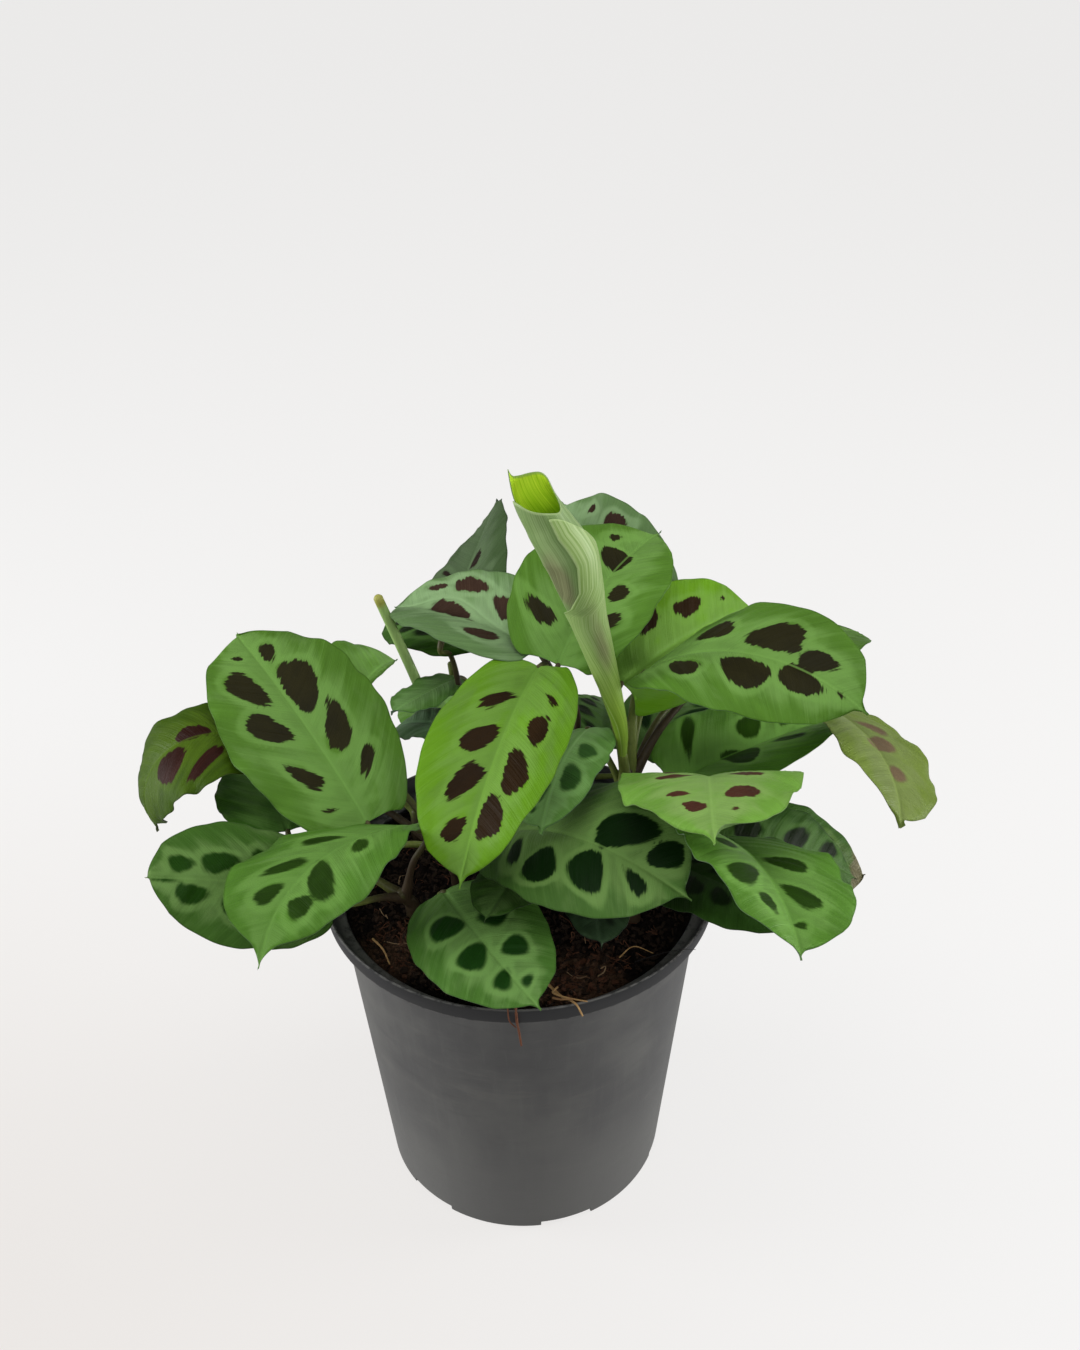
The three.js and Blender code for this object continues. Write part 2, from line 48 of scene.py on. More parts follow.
SOIL_RADIUS = 75.8


# Meshes
def add_values(mesh, values):
    for key, column in values.items():
        layer = mesh.attributes.new(key, "FLOAT", "POINT")
        layer.data.foreach_set("value", np.asarray(column, dtype=np.float32).ravel())


def make_object(name, points, faces, materials, face_materials=None, values=None, uv=None, smooth=True):
    """One mesh object from points in millimetres, with optional float values for every point."""
    mesh = bpy.data.meshes.new(name)
    mesh.from_pydata((np.asarray(points) * MM).tolist(), [], [list(map(int, face)) for face in faces])
    for material in materials:
        mesh.materials.append(material)
    if face_materials is not None:
        mesh.polygons.foreach_set("material_index", np.asarray(face_materials, dtype=np.int32))
    mesh.polygons.foreach_set("use_smooth", np.full(len(mesh.polygons), smooth))
    add_values(mesh, values or {})
    if uv is not None:
        layer = mesh.uv_layers.new(name="UVMap")
        loops = np.empty(len(mesh.loops), dtype=np.int32)
        mesh.loops.foreach_get("vertex_index", loops)
        layer.data.foreach_set("uv", np.asarray(uv, dtype=np.float32)[loops].ravel())
    mesh.update()
    piece = bpy.data.objects.new(name, mesh)
    bpy.context.scene.collection.objects.link(piece)
    return piece


def grid_faces(rows, columns, start=0, closed=False, flip=False):
    """Quads of a grid whose points run along each row in turn; closed joins the last column to the first."""
    faces = []
    wide = columns if closed else columns - 1
    for row in range(rows - 1):
        for column in range(wide):
            a = start + row * columns + column
            b = start + row * columns + (column + 1) % columns
            quad = (a, b, b + columns, a + columns)
            faces.append(quad[::-1] if flip else quad)
    return faces


def sheet_faces(rows, columns):
    """Faces of a closed sheet: an upper grid, a lower grid and the rim between them."""
    count = rows * columns
    upper = grid_faces(rows, columns, 0, flip=True)
    lower = grid_faces(rows, columns, count)
    rim = list(range(columns))
    rim += [row * columns + columns - 1 for row in range(1, rows)]
    rim += [(rows - 1) * columns + column for column in range(columns - 2, -1, -1)]
    rim += [row * columns for row in range(rows - 2, 0, -1)]
    edge = []
    for i, a in enumerate(rim):
        b = rim[(i + 1) % len(rim)]
        edge.append((b, a, a + count, b + count)[::-1])
    return upper, lower, edge


def spline(points, count):
    """count + 1 points, evenly spaced, on a centripetal Catmull-Rom curve through the given points."""
    given = [np.asarray(p, dtype=float) for p in points]
    given = [2 * given[0] - given[1]] + given + [2 * given[-1] - given[-2]]
    dense = []
    for p0, p1, p2, p3 in zip(given, given[1:], given[2:], given[3:]):
        steps = [max(np.linalg.norm(b - a) ** 0.5, 1e-4) for a, b in ((p0, p1), (p1, p2), (p2, p3))]
        m1 = (p1 - p0) / steps[0] - (p2 - p0) / (steps[0] + steps[1]) + (p2 - p1) / steps[1]
        m2 = (p2 - p1) / steps[1] - (p3 - p1) / (steps[1] + steps[2]) + (p3 - p2) / steps[2]
        m1 = m1 * steps[1]
        m2 = m2 * steps[1]
        for t in np.linspace(0, 1, 33)[:-1]:
            dense.append(
                (2 * t**3 - 3 * t**2 + 1) * p1 + (t**3 - 2 * t**2 + t) * m1
                + (3 * t**2 - 2 * t**3) * p2 + (t**3 - t**2) * m2
            )
    dense.append(given[-2])
    dense = np.array(dense)
    length = np.concatenate([[0], np.cumsum(np.linalg.norm(np.diff(dense, axis=0), axis=1))])
    wanted = np.linspace(0, length[-1], count + 1)
    return np.stack([np.interp(wanted, length, dense[:, k]) for k in range(3)], axis=1)


def close_ends(faces, sides, last_ring, bottom, top):
    """Adds the triangles from two end points to the first ring and to the last one."""
    for k in range(sides):
        following = (k + 1) % sides
        faces.append((bottom, following, k))
        faces.append((top, last_ring + k, last_ring + following))


def tube(path, radii, sides):
    """Points and faces of a tube with domed ends along a path, and each point's share of the way along."""
    path = np.asarray(path, dtype=float)
    radii = np.broadcast_to(np.asarray(radii, dtype=float), (len(path),)).copy()
    along = np.gradient(path, axis=0)
    along /= np.linalg.norm(along, axis=1)[:, None]
    side = np.cross(along[0], (0.31, 0.87, 0.39))
    side /= np.linalg.norm(side)
    rings = []
    shares = []
    turn = np.arange(sides) / sides * 2 * math.pi
    first = path[0] - along[0] * radii[0] * 0.5
    last = path[-1] + along[-1] * radii[-1] * 0.5
    stations = [(first, along[0], radii[0] * 0.6, 0.0)]
    stations += [(p, a, r, i / (len(path) - 1)) for i, (p, a, r) in enumerate(zip(path, along, radii))]
    stations += [(last, along[-1], radii[-1] * 0.6, 1.0)]
    for centre, direction, radius, share in stations:
        side = side - direction * np.dot(side, direction)
        side /= np.linalg.norm(side)
        other = np.cross(direction, side)
        rings.append(centre + radius * (np.cos(turn)[:, None] * side + np.sin(turn)[:, None] * other))
        shares.append(np.full(sides, share))
    points = np.concatenate(rings)
    faces = grid_faces(len(rings), sides, closed=True)
    points = np.concatenate([points, [first - along[0] * radii[0] * 0.2, last + along[-1] * radii[-1] * 0.2]])
    close_ends(faces, sides, (len(rings) - 1) * sides, len(points) - 2, len(points) - 1)
    return points, faces, np.concatenate(shares + [np.array([0.0, 1.0])])


class Parts:
    """Collects points, faces and point values of several bodies for one object."""

    def __init__(self, *keys):
        self.points = []
        self.faces = []
        self.values = {key: [] for key in keys}
        self.count = 0

    def add(self, points, faces, **values):
        self.points.append(np.asarray(points, dtype=float))
        self.faces += [tuple(int(v) + self.count for v in face) for face in faces]
        for key, column in self.values.items():
            column.append(np.broadcast_to(np.asarray(values[key], dtype=float), (len(points),)))
        self.count += len(points)

    def build(self, name, material, smooth=True):
        values = {key: np.concatenate(column) for key, column in self.values.items()}
        points = np.concatenate(self.points)
        return make_object(name, points, self.faces, [material], values=values, smooth=smooth)


# Materials: small helpers that lay out nodes
class Nodes:
    def __init__(self, tree):
        self.tree = tree

    def feed(self, socket, value):
        if isinstance(value, bpy.types.NodeSocket):
            self.tree.links.new(value, socket)
        elif isinstance(value, tuple) and len(value) == 3 and socket.type == "RGBA":
            socket.default_value = (*value, 1.0)
        else:
            socket.default_value = value

    def node(self, kind, inputs=None, output=0, **settings):
        made = self.tree.nodes.new(kind)
        for key, value in settings.items():
            setattr(made, key, value)
        for key, value in (inputs or {}).items():
            self.feed(made.inputs[key], value)
        return made.outputs[output]

    def mix(self, share, a, b):
        return self.node("ShaderNodeMix", {0: share, 6: a, 7: b}, output=2, data_type="RGBA")

    def step(self, value, low, high, to_low=0.0, to_high=1.0):
        """Smooth change from one number to another between two thresholds."""
        return self.node(
            "ShaderNodeMapRange",
            {0: value, 1: low, 2: high, 3: to_low, 4: to_high},
            interpolation_type="SMOOTHSTEP",
        )

    def by_viewer(self, as_light, to_camera):
        """One strength for the light that a surface gives and another for how the camera sees it."""
        seen = self.node("ShaderNodeLightPath", output="Is Camera Ray")
        return self.node("ShaderNodeMapRange", {0: seen, 3: as_light, 4: to_camera})


class Surface(Nodes):
    def __init__(self, name, roughness=0.5, specular=0.5):
        self.material = bpy.data.materials.new(name)
        self.material.use_nodes = True
        super().__init__(self.material.node_tree)
        self.shader = self.tree.nodes["Principled BSDF"]
        self.shader.inputs["Roughness"].default_value = roughness
        self.shader.inputs["Specular IOR Level"].default_value = specular

    def value(self, name):
        return self.node("ShaderNodeAttribute", output="Fac", attribute_name=name)

    def place(self):
        """The object's own coordinates, in millimetres."""
        spot = self.node("ShaderNodeTexCoord", output="Object")
        return self.node("ShaderNodeVectorMath", {0: spot, 3: 1 / MM}, operation="SCALE")

    def math(self, operation, a, b=0.0, c=0.0):
        return self.node("ShaderNodeMath", {0: a, 1: b, 2: c}, operation=operation)

    def vector(self, x, y, z=0.0):
        return self.node("ShaderNodeCombineXYZ", {0: x, 1: y, 2: z})

    def noise(self, spot, scale, detail=2.0, roughness=0.5):
        return self.node(
            "ShaderNodeTexNoise",
            {"Vector": spot, "Scale": scale, "Detail": detail, "Roughness": roughness},
        )

    def stretched(self, spot, factors, detail=3.0, roughness=0.6):
        """Noise that is drawn out along the axes with the smaller factors."""
        drawn_out = self.node("ShaderNodeVectorMath", {0: spot, 1: factors}, operation="MULTIPLY")
        return self.noise(drawn_out, 1.0, detail, roughness)

    def colour(self, value):
        self.feed(self.shader.inputs["Base Color"], value)

    def rough(self, value):
        self.feed(self.shader.inputs["Roughness"], value)

    def bump(self, height, strength, distance_mm):
        bumped = self.node(
            "ShaderNodeBump", {"Height": height, "Strength": strength, "Distance": distance_mm * MM}
        )
        self.tree.links.new(bumped, self.shader.inputs["Normal"])


def rgb(red, green, blue):
    """Scene colour from 0 to 255 screen values."""
    shares = [c / 255 for c in (red, green, blue)]
    return tuple(c / 12.92 if c <= 0.0393 else ((c + 0.055) / 1.055) ** 2.4 for c in shares)


# Leaf blades: they follow those of the solids, with finer outlines and placements near theirs. Most
# placements were solved from points marked on the photo, rounded, and then partly changed.
EDGE_CURL = math.radians(-22)
RIB_STEPS = 60
BODY_END = 0.985

# Lengths are in millimetres and angles in degrees. From base to tip, swing is added to the heading and twist
# to the roll, and droop is taken off the rise. After the columns comes what differs from the usual values.
LEAF_COLUMNS = (
    "base", "heading", "swing", "rise", "droop", "roll", "twist", "length", "width", "fold", "look"
)
LEAF_ROWS = {
    "leaf_left_large": ((-62, -15, 197), 130, -5, 40, 30, 5, 5, 109, 70, 10, "mid",
        dict(ruffle=1.4, point=0, tone=0.95, close=0.55, lobe=0.05, halves=(0.96, 1))),
    "leaf_left_far": ((-104, 22, 210), 180, 5, 40, 150, 0, 30, 92, 57, 5, "ruddy",
        dict(ruffle=1.2, halves=(1, 0.75))),
    "leaf_left_behind": ((-75, 39, 215), 75, 0, 5, 35, -30, 0, 73, 46, 10, "mid",
        dict(halves=(1, 0.15), tone=1.2)),
    "leaf_left_front": ((-42, -28, 204), -150, 55, 20, 30, -35, 40, 98, 69, 15, "mid_green",
        dict(ruffle=1.0, point=0.08, open=0.85, close=0.72, tone=0.86, halves=(1.02, 0.88))),
    "leaf_left_low": ((-76, -35, 176), -150, 0, 35, 10, 35, 5, 84, 52, 5, "dark_tip",
        dict(tone=0.85, point=0)),
    "leaf_left_under": ((-97, -5, 186), 110, 0, 10, 15, 0, 0, 55, 49, 10, "dark",
        dict(halves=(1, 0.7), tone=1.2)),
    "leaf_top_left_upright": ((-30, 55, 246), 70, 5, 25, 15, 10, 50, 82, 52, 15, "grey",
        dict(tone=0.38, widest=0.24, close=0.8, halves=(0.85, 1))),
    "leaf_top_left_under": ((-13, 64, 235), 140, 0, 10, 40, 10, 5, 62, 42, 10, "dark",
        dict(tone=0.7, halves=(1, 1.15))),
    "leaf_small_left": ((-26, 66, 215), -130, -5, 10, 15, -5, 0, 40, 24, 10, "blue", dict(tone=1.5)),
    "leaf_small_left_under": ((-26, 29, 211), 135, 0, -5, 35, 5, 10, 44, 23, 10, "slate", dict(tone=1.5)),
    "leaf_centre": ((10, 13, 253), -115, 10, -10, 25, 0, -20, 101, 60, 20, "fresh",
        dict(tone=0.96, open=0.52)),
    "leaf_top_centre": ((18, 14, 253), 65, -20, 30, 25, -10, 5, 84, 57, 20, "mid",
        dict(halves=(1.2, 1), lobe=0.05)),
    "leaf_top_left": ((10, 24, 254), 140, 0, 10, 30, 15, -10, 80, 52, 30, "grey", dict(bow=-0.3)),
    "leaf_right_large": ((55, 23, 243), -30, -5, 45, 75, 10, -50, 101, 63, 10, "mid",
        dict(ruffle=0.8, widest=0.42)),
    "leaf_right_behind": ((45, 24, 237), 40, 10, 15, 35, -30, -5, 94, 54, 10, "fresh",
        dict(open=0.38, lobe=0.1)),
    "leaf_top_back": ((56, 56, 226), 110, 0, 35, 25, 25, 20, 98, 63, 10, "grey", dict(ruffle=1.6)),
    "leaf_small_centre": ((30, 14, 221), -115, 15, 15, 30, -15, -10, 71, 39, 5, "blue", dict(tone=1.5)),
    "leaf_right_far": ((126, 38, 217), -55, -45, 15, 25, 25, 10, 98, 60, 15, "olive",
        dict(ruffle=1.2, halves=(0.88, 1), tone=0.78)),
    "leaf_right_back": ((92, 62, 225), 35, 0, 0, 25, 5, 5, 92, 62, 10, "mid", dict(tone=0.7)),
    "leaf_right_mid": ((65, 3, 200), 35, 0, 0, 10, -5, 25, 105, 61, 25, "mid_green", dict(tone=1.35)),
    "leaf_right_low": ((79, -32, 195), 20, 0, -15, 30, -15, -15, 81, 47, 10, "dark",
        dict(tone=0.6, open=0.52)),
    "leaf_right_lowest": ((86, -6, 181), 10, -5, -15, 25, -15, -10, 76, 43, 10, "dried",
        dict(tone=0.85, point=0)),
    "leaf_front_right_bright": ((78, -15, 211), -100, 5, 50, 45, -5, 0, 106, 69, 10, "bright",
        dict(ruffle=1.6, point=0.06, tone=0.94)),
    "leaf_front_right_large": ((79, -54, 215), -75, -15, 30, 30, 20, 0, 95, 65, 20, "mid_green",
        dict(ruffle=1.2, point=0.04, halves=(0.93, 1), tone=0.92)),
    "leaf_front_right_under": ((56, -38, 191), -55, 0, 25, 20, 5, -5, 81, 50, 10, "deep", dict(tone=1.1)),
    "leaf_front_hanging": ((30, -32, 177), -90, 0, 35, 40, 5, 0, 56, 28, 10, "slate", dict(tone=0.8)),
    "leaf_front_centre": ((-6, -16, 190), -50, 5, 40, 50, -5, -25, 104, 66, 10, "deep_banded", {}),
    "leaf_front_low": ((-31, -33, 174), -70, 15, 15, 25, -15, 10, 79, 52, 10, "dark_fresh",
        dict(tone=1.15)),
    "leaf_front_small": ((5, -24, 182), -110, -5, 25, 30, 0, -5, 49, 30, 10, "dark_fresh", dict(tone=0.6)),
    "leaf_back_centre": ((40, 66, 174), 85, 0, 5, 35, -10, 0, 66, 44, 10, "dark", {}),
    "leaf_back_upper": ((0, 52, 192), 95, 0, 0, 25, 0, 0, 74, 46, 10, "mid_green", {}),
    "leaf_back_right": ((54, 60, 174), 50, 0, 20, 50, 5, 0, 88, 54, 10, "dark_fresh", {}),
    "leaf_back_left": ((-56, 43, 171), 150, 0, 20, 50, -5, 0, 84, 50, 10, "dark", dict(halves=(1, 0.85))),
    "leaf_back_left_mid": ((-17, 72, 173), 110, 0, 5, 45, 5, 0, 90, 52, 10, "mid_green", {}),
}
# The tone value of each blade is partly painted light and shade: it darkens blades that lie in shade under
# others and lightens some shaded ones.
USUAL = dict(
    ruffle=0.5, halves=(1, 1), point=0.035, bow=0, tone=1, widest=0.46, open=0.46, close=0.62, lobe=0.03
)
LEAVES = {}
for number, (leaf_name, (*placement, differences)) in enumerate(LEAF_ROWS.items()):
    LEAVES[leaf_name] = {**USUAL, **dict(zip(LEAF_COLUMNS, placement)), **differences, "seed": number}

# Blotches: inner end (share along, share across), outer end, and width in millimetres. Those that show were
# worked out from places read off the photo, rounded, and some changed. The others are made up.
MARKS = {
    "leaf_left_large": [(0.2, 0.3, 0.34, 0.55, 6), (0.42, 0.25, 0.58, 0.6, 10), (0.6, 0.25, 0.8, 0.6, 10),
        (0.86, 0.25, 0.88, 0.4, 2), (0.1, 0.35, 0.12, 0.55, 1.5), (0.16, -0.3, 0.26, -0.55, 4.5),
        (0.3, -0.2, 0.5, -0.45, 9), (0.5, -0.15, 0.74, -0.35, 13), (0.78, -0.15, 0.88, -0.3, 6)],
    "leaf_centre": [(0.18, -0.1, 0.28, -0.5, 5), (0.36, -0.1, 0.48, -0.45, 9), (0.54, -0.15, 0.7, -0.5, 8),
        (0.76, -0.2, 0.86, -0.5, 7), (0.18, 0.5, 0.24, 0.65, 2.5), (0.3, 0.45, 0.44, 0.6, 8),
        (0.46, 0.3, 0.66, 0.55, 10), (0.66, 0.2, 0.84, 0.45, 11)],
    "leaf_right_large": [(0.22, 0.4, 0.38, 0.5, 10), (0.46, 0.25, 0.68, 0.45, 13),
        (0.7, 0.15, 0.84, 0.4, 8), (0.2, -0.35, 0.34, -0.5, 9), (0.42, -0.2, 0.62, -0.45, 13),
        (0.66, -0.15, 0.84, -0.25, 10), (0.88, -0.02, 0.92, -0.06, 1)],
    "leaf_top_centre": [(0.62, 0.05, 0.76, 0.15, 11), (0.79, 0.46, 0.84, 0.4, 2.2),
        (0.42, -0.3, 0.54, -0.4, 8), (0.2, -0.25, 0.34, -0.6, 6), (0.19, 0.3, 0.27, 0.76, 6)],
    "leaf_right_behind": [(0.24, 0.45, 0.38, 0.65, 7), (0.48, 0.4, 0.66, 0.5, 7),
        (0.78, 0.4, 0.82, 0.45, 1), (0.2, -0.25, 0.32, -0.5, 6), (0.42, -0.2, 0.58, -0.5, 8),
        (0.66, -0.2, 0.8, -0.45, 6)],
    "leaf_top_left": [(0.24, -0.3, 0.38, -0.5, 7), (0.46, -0.6, 0.68, -0.65, 7),
        (0.72, -0.6, 0.86, -0.6, 2.5), (0.2, 0.35, 0.38, 0.45, 7), (0.46, 0.02, 0.74, -0.08, 8)],
    "leaf_top_left_upright": [(0.42, -0.15, 0.54, -0.25, 5), (0.28, 0.3, 0.38, 0.8, 4),
        (0.38, 0.3, 0.46, 0.7, 3), (0.2, -0.25, 0.32, -0.55, 6)],
    "leaf_top_back": [(0.74, -0.5, 0.64, -0.7, 8), (0.84, -0.4, 0.84, -0.6, 3),
        (0.24, -0.2, 0.38, -0.5, 8), (0.44, -0.2, 0.58, -0.5, 9), (0.2, 0.2, 0.34, 0.5, 8),
        (0.4, 0.2, 0.56, 0.5, 10), (0.6, 0.2, 0.76, 0.5, 9)],
    "leaf_left_front": [(0.52, -0.15, 0.66, -0.5, 6), (0.68, -0.15, 0.8, -0.4, 7),
        (0.5, 0.05, 0.74, 0.6, 9), (0.74, 0.25, 0.86, 0.45, 8), (0.3, -0.2, 0.42, -0.5, 6),
        (0.32, 0.2, 0.44, 0.5, 6)],
    "leaf_left_low": [(0.52, -0.35, 0.72, -0.25, 7), (0.76, -0.3, 0.88, -0.35, 5.5),
        (0.86, 0.05, 0.96, 0.1, 1.5), (0.7, 0.25, 0.86, 0.4, 7), (0.32, -0.2, 0.44, -0.5, 7),
        (0.3, 0.2, 0.44, 0.5, 8), (0.5, 0.2, 0.62, 0.5, 8)],
    "leaf_left_far": [(0.3, -0.05, 0.46, -0.2, 9), (0.42, 0.2, 0.6, 0.45, 14), (0.24, 0.35, 0.4, 0.8, 7)],
    "leaf_front_right_bright": [(0.71, -0.25, 0.72, -0.5, 4), (0.8, -0.1, 0.84, -0.4, 8),
        (0.7, 0.2, 0.74, 0.6, 11), (0.85, 0.3, 0.86, 0.42, 2.5), (0.24, 0.2, 0.34, 0.5, 7),
        (0.24, -0.2, 0.34, -0.5, 7), (0.42, 0.2, 0.5, 0.55, 7), (0.42, -0.2, 0.5, -0.55, 7)],
    "leaf_front_right_large": [(0.52, -0.2, 0.72, -0.7, 9), (0.74, -0.35, 0.84, -0.3, 5.5),
        (0.36, 0.1, 0.48, 0.5, 9), (0.6, 0.1, 0.76, 0.45, 8.5), (0.85, 0.12, 0.88, 0.22, 4),
        (0.28, -0.2, 0.38, -0.5, 7)],
    "leaf_right_mid": [(0.28, 0.02, 0.38, -0.38, 16), (0.14, 0.3, 0.3, 0.9, 5), (0.45, 0.2, 0.6, 0.55, 9),
        (0.66, 0.2, 0.78, 0.5, 7), (0.5, -0.2, 0.62, -0.5, 7)],
    "leaf_right_far": [(0.54, -0.15, 0.5, 0.35, 10), (0.72, 0.02, 0.72, 0.3, 9), (0.32, 0.1, 0.42, 0.45, 6)],
    "leaf_right_low": [(0.14, 0.05, 0.3, 0.55, 10), (0.46, 0.02, 0.64, 0.55, 8), (0.7, 0.1, 0.86, 0.65, 6),
        (0.3, -0.15, 0.42, -0.5, 7), (0.52, -0.15, 0.64, -0.5, 7)],
    "leaf_right_lowest": [(0.08, 0.12, 0.26, 0.55, 10), (0.34, 0.1, 0.52, 0.5, 9),
        (0.58, 0.1, 0.74, 0.45, 6), (0.3, -0.2, 0.42, -0.5, 7), (0.52, -0.2, 0.64, -0.5, 7)],
    "leaf_front_centre": [(0.4, -0.3, 0.48, -0.75, 13), (0.56, -0.2, 0.72, -0.65, 12.5),
        (0.76, -0.15, 0.88, -0.45, 5), (0.22, -0.25, 0.32, -0.7, 5), (0.55, 0.15, 0.78, 0.6, 14),
        (0.8, 0.15, 0.9, 0.75, 10), (0.22, 0.2, 0.3, 0.55, 6)],
    "leaf_front_low": [(0.28, -0.12, 0.36, -0.6, 12), (0.52, -0.05, 0.64, -0.5, 10),
        (0.74, -0.02, 0.84, -0.4, 6), (0.6, 0.25, 0.72, 0.5, 9), (0.84, 0.12, 0.88, 0.3, 5),
        (0.34, 0.2, 0.46, 0.5, 9)],
    "leaf_left_behind": [],
    "leaf_small_left_under": [],
    "leaf_small_left": [],
    "leaf_left_under": [],
    "leaf_right_back": [(0.16, 0.25, 0.3, 0.6, 6), (0.36, 0.22, 0.54, 0.6, 7), (0.6, 0.22, 0.72, 0.5, 5),
        (0.18, -0.25, 0.32, -0.6, 6), (0.4, -0.22, 0.56, -0.6, 7), (0.64, -0.2, 0.75, -0.5, 4)],
    "leaf_front_small": [],
    "leaf_small_centre": [(0.5, 0.25, 0.74, 0.55, 7.5), (0.26, 0.3, 0.44, 0.6, 6.5),
        (0.66, -0.12, 0.8, -0.25, 2.5), (0.82, -0.35, 0.86, -0.6, 4)],
}
BLOTCH_STRETCH = 1.04
BLOTCH_SPREAD = 1.08


def usual_marks(leaf):
    """Blotches for a blade whose own can't be made out: two rows of four that shrink towards the ends."""
    random = np.random.RandomState(100 + leaf["seed"])
    marks = []
    for side in (-1, 1):
        for k, size in enumerate((0.7, 1, 0.95, 0.6)):
            inner = 0.17 + 0.175 * k + 0.02 * side + random.uniform(-0.02, 0.02)
            reach = 0.16 * size
            near = 0.2 + random.uniform(-0.05, 0.05)
            wide = leaf["width"] * 0.145 * size * random.uniform(0.8, 1.15)
            marks.append((inner, near * side, inner + reach, (near + 0.36 * size) * side, wide))
    return marks


def half_width_share(leaf, s):
    widest = leaf["widest"]
    towards_base = 1 - np.clip((widest - s) / widest, 0, 1) ** 2.3
    towards_tip = 1 - np.clip((s - widest) / (BODY_END - widest), 0, 1) ** 2.2
    body = np.where(s < widest, towards_base ** leaf["open"], towards_tip ** leaf["close"])
    return np.maximum(body, 0.015)


def outline(leaf, s, across):
    """Half the width in millimetres at s, with the drawn-out point that the blade ends in."""
    end = 1 + leaf["point"]
    point = 0.4 * np.clip((end - s) / (leaf["point"] + 0.1), 0, 1) ** 1.7
    body = np.where(s < BODY_END, half_width_share(leaf, np.minimum(s, BODY_END)), 0.0)
    share = np.maximum((body**4 + point**4) ** 0.25, 0.012)
    side = np.where(across > 0, leaf["halves"][0], leaf["halves"][1])
    phase = leaf["seed"] * 2.3 + np.where(across > 0, 0, 2.0)
    waver = 1 + 0.012 * np.sin(2 * math.pi * 2.7 * s + phase)
    waver += 0.007 * np.sin(2 * math.pi * 7.1 * s + 1.7 * phase)
    return leaf["width"] / 2 * share * side * waver


def blade_frame(leaf, s):
    """Unit directions at s: along the rib, out of the upper face, and to the left of the rib."""
    heading = np.radians(leaf["heading"] + leaf["swing"] * s)
    slope = np.radians(leaf["rise"] - leaf["droop"] * s)
    roll = np.radians(leaf["roll"] + leaf["twist"] * s)
    cos_heading, sin_heading = np.cos(heading), np.sin(heading)
    cos_slope, sin_slope = np.cos(slope), np.sin(slope)
    along = np.stack([cos_slope * cos_heading, cos_slope * sin_heading, sin_slope], axis=-1)
    up = np.stack([-sin_slope * cos_heading, -sin_slope * sin_heading, cos_slope], axis=-1)
    side = np.cross(up, along)
    cos_roll, sin_roll = np.cos(roll)[..., None], np.sin(roll)[..., None]
    return along, up * cos_roll + side * sin_roll, side * cos_roll - up * sin_roll


def rib_at(leaf, s):
    middles = (np.arange(RIB_STEPS) + 0.5) / RIB_STEPS
    steps = blade_frame(leaf, middles)[0] * leaf["length"] / RIB_STEPS
    nodes = np.concatenate([[leaf["base"]], np.asarray(leaf["base"]) + np.cumsum(steps, axis=0)])
    nodes = np.concatenate([nodes, nodes[-1:] + steps[-1:] * 6])
    knots = np.append(np.linspace(0, 1, RIB_STEPS + 1), 1 + 6 / RIB_STEPS)
    return np.stack([np.interp(s, knots, nodes[:, k]) for k in range(3)], axis=-1)


def blade_points(leaf, s, across):
    """Points of the blade's middle surface and its normals, for arrays of s and across."""
    along, normal, left = blade_frame(leaf, s)
    half = outline(leaf, s, across)
    share = np.abs(across)
    # Two rounded lobes reach back a little beside the stalk.
    lobe = leaf["lobe"] * leaf["length"] * share**2 * s / 0.05 * np.exp(1 - s / 0.05)
    fold = math.radians(leaf["fold"])
    outward = (np.sin(fold + EDGE_CURL * share) - math.sin(fold)) / EDGE_CURL
    lift = (math.cos(fold) - np.cos(fold + EDGE_CURL * share)) / EDGE_CURL
    side_phase = leaf["seed"] * 1.3 + np.where(across > 0, 0, 1.7)
    wave = 0.8 * np.sin(2 * math.pi * 1.6 * s + side_phase) * share**2
    wave += leaf["ruffle"] * np.sin(2 * math.pi * 3.7 * s + 2.1 * side_phase) * share**5
    wave += 0.35 * leaf["ruffle"] * np.sin(2 * math.pi * 8.3 * s + 3.3 * side_phase) * share**8
    points = rib_at(leaf, s) - along * lobe[..., None]
    points = points + left * (half * outward * np.sign(across))[..., None]
    return points + normal * (half * lift + wave)[..., None], normal


def rib_shift(leaf, s):
    """How far the rib of the pattern lies from the middle, as a share of the half width."""
    return leaf["bow"] * np.sin(math.pi * np.clip(s, 0, 1) ** 1.6) ** 2


def flat_spot(leaf, s, across):
    """A point of the blade laid flat: millimetres along it and across it."""
    return s * leaf["length"], across * leaf["width"] / 2 * half_width_share(leaf, np.minimum(s, BODY_END))


def vein_start(leaf, s, rib_distance):
    """Where the side vein through a point leaves the rib, in millimetres from the blade's base."""
    return s * leaf["length"] - 0.62 * rib_distance - 0.3 * rib_distance**2 / (leaf["width"] / 2)


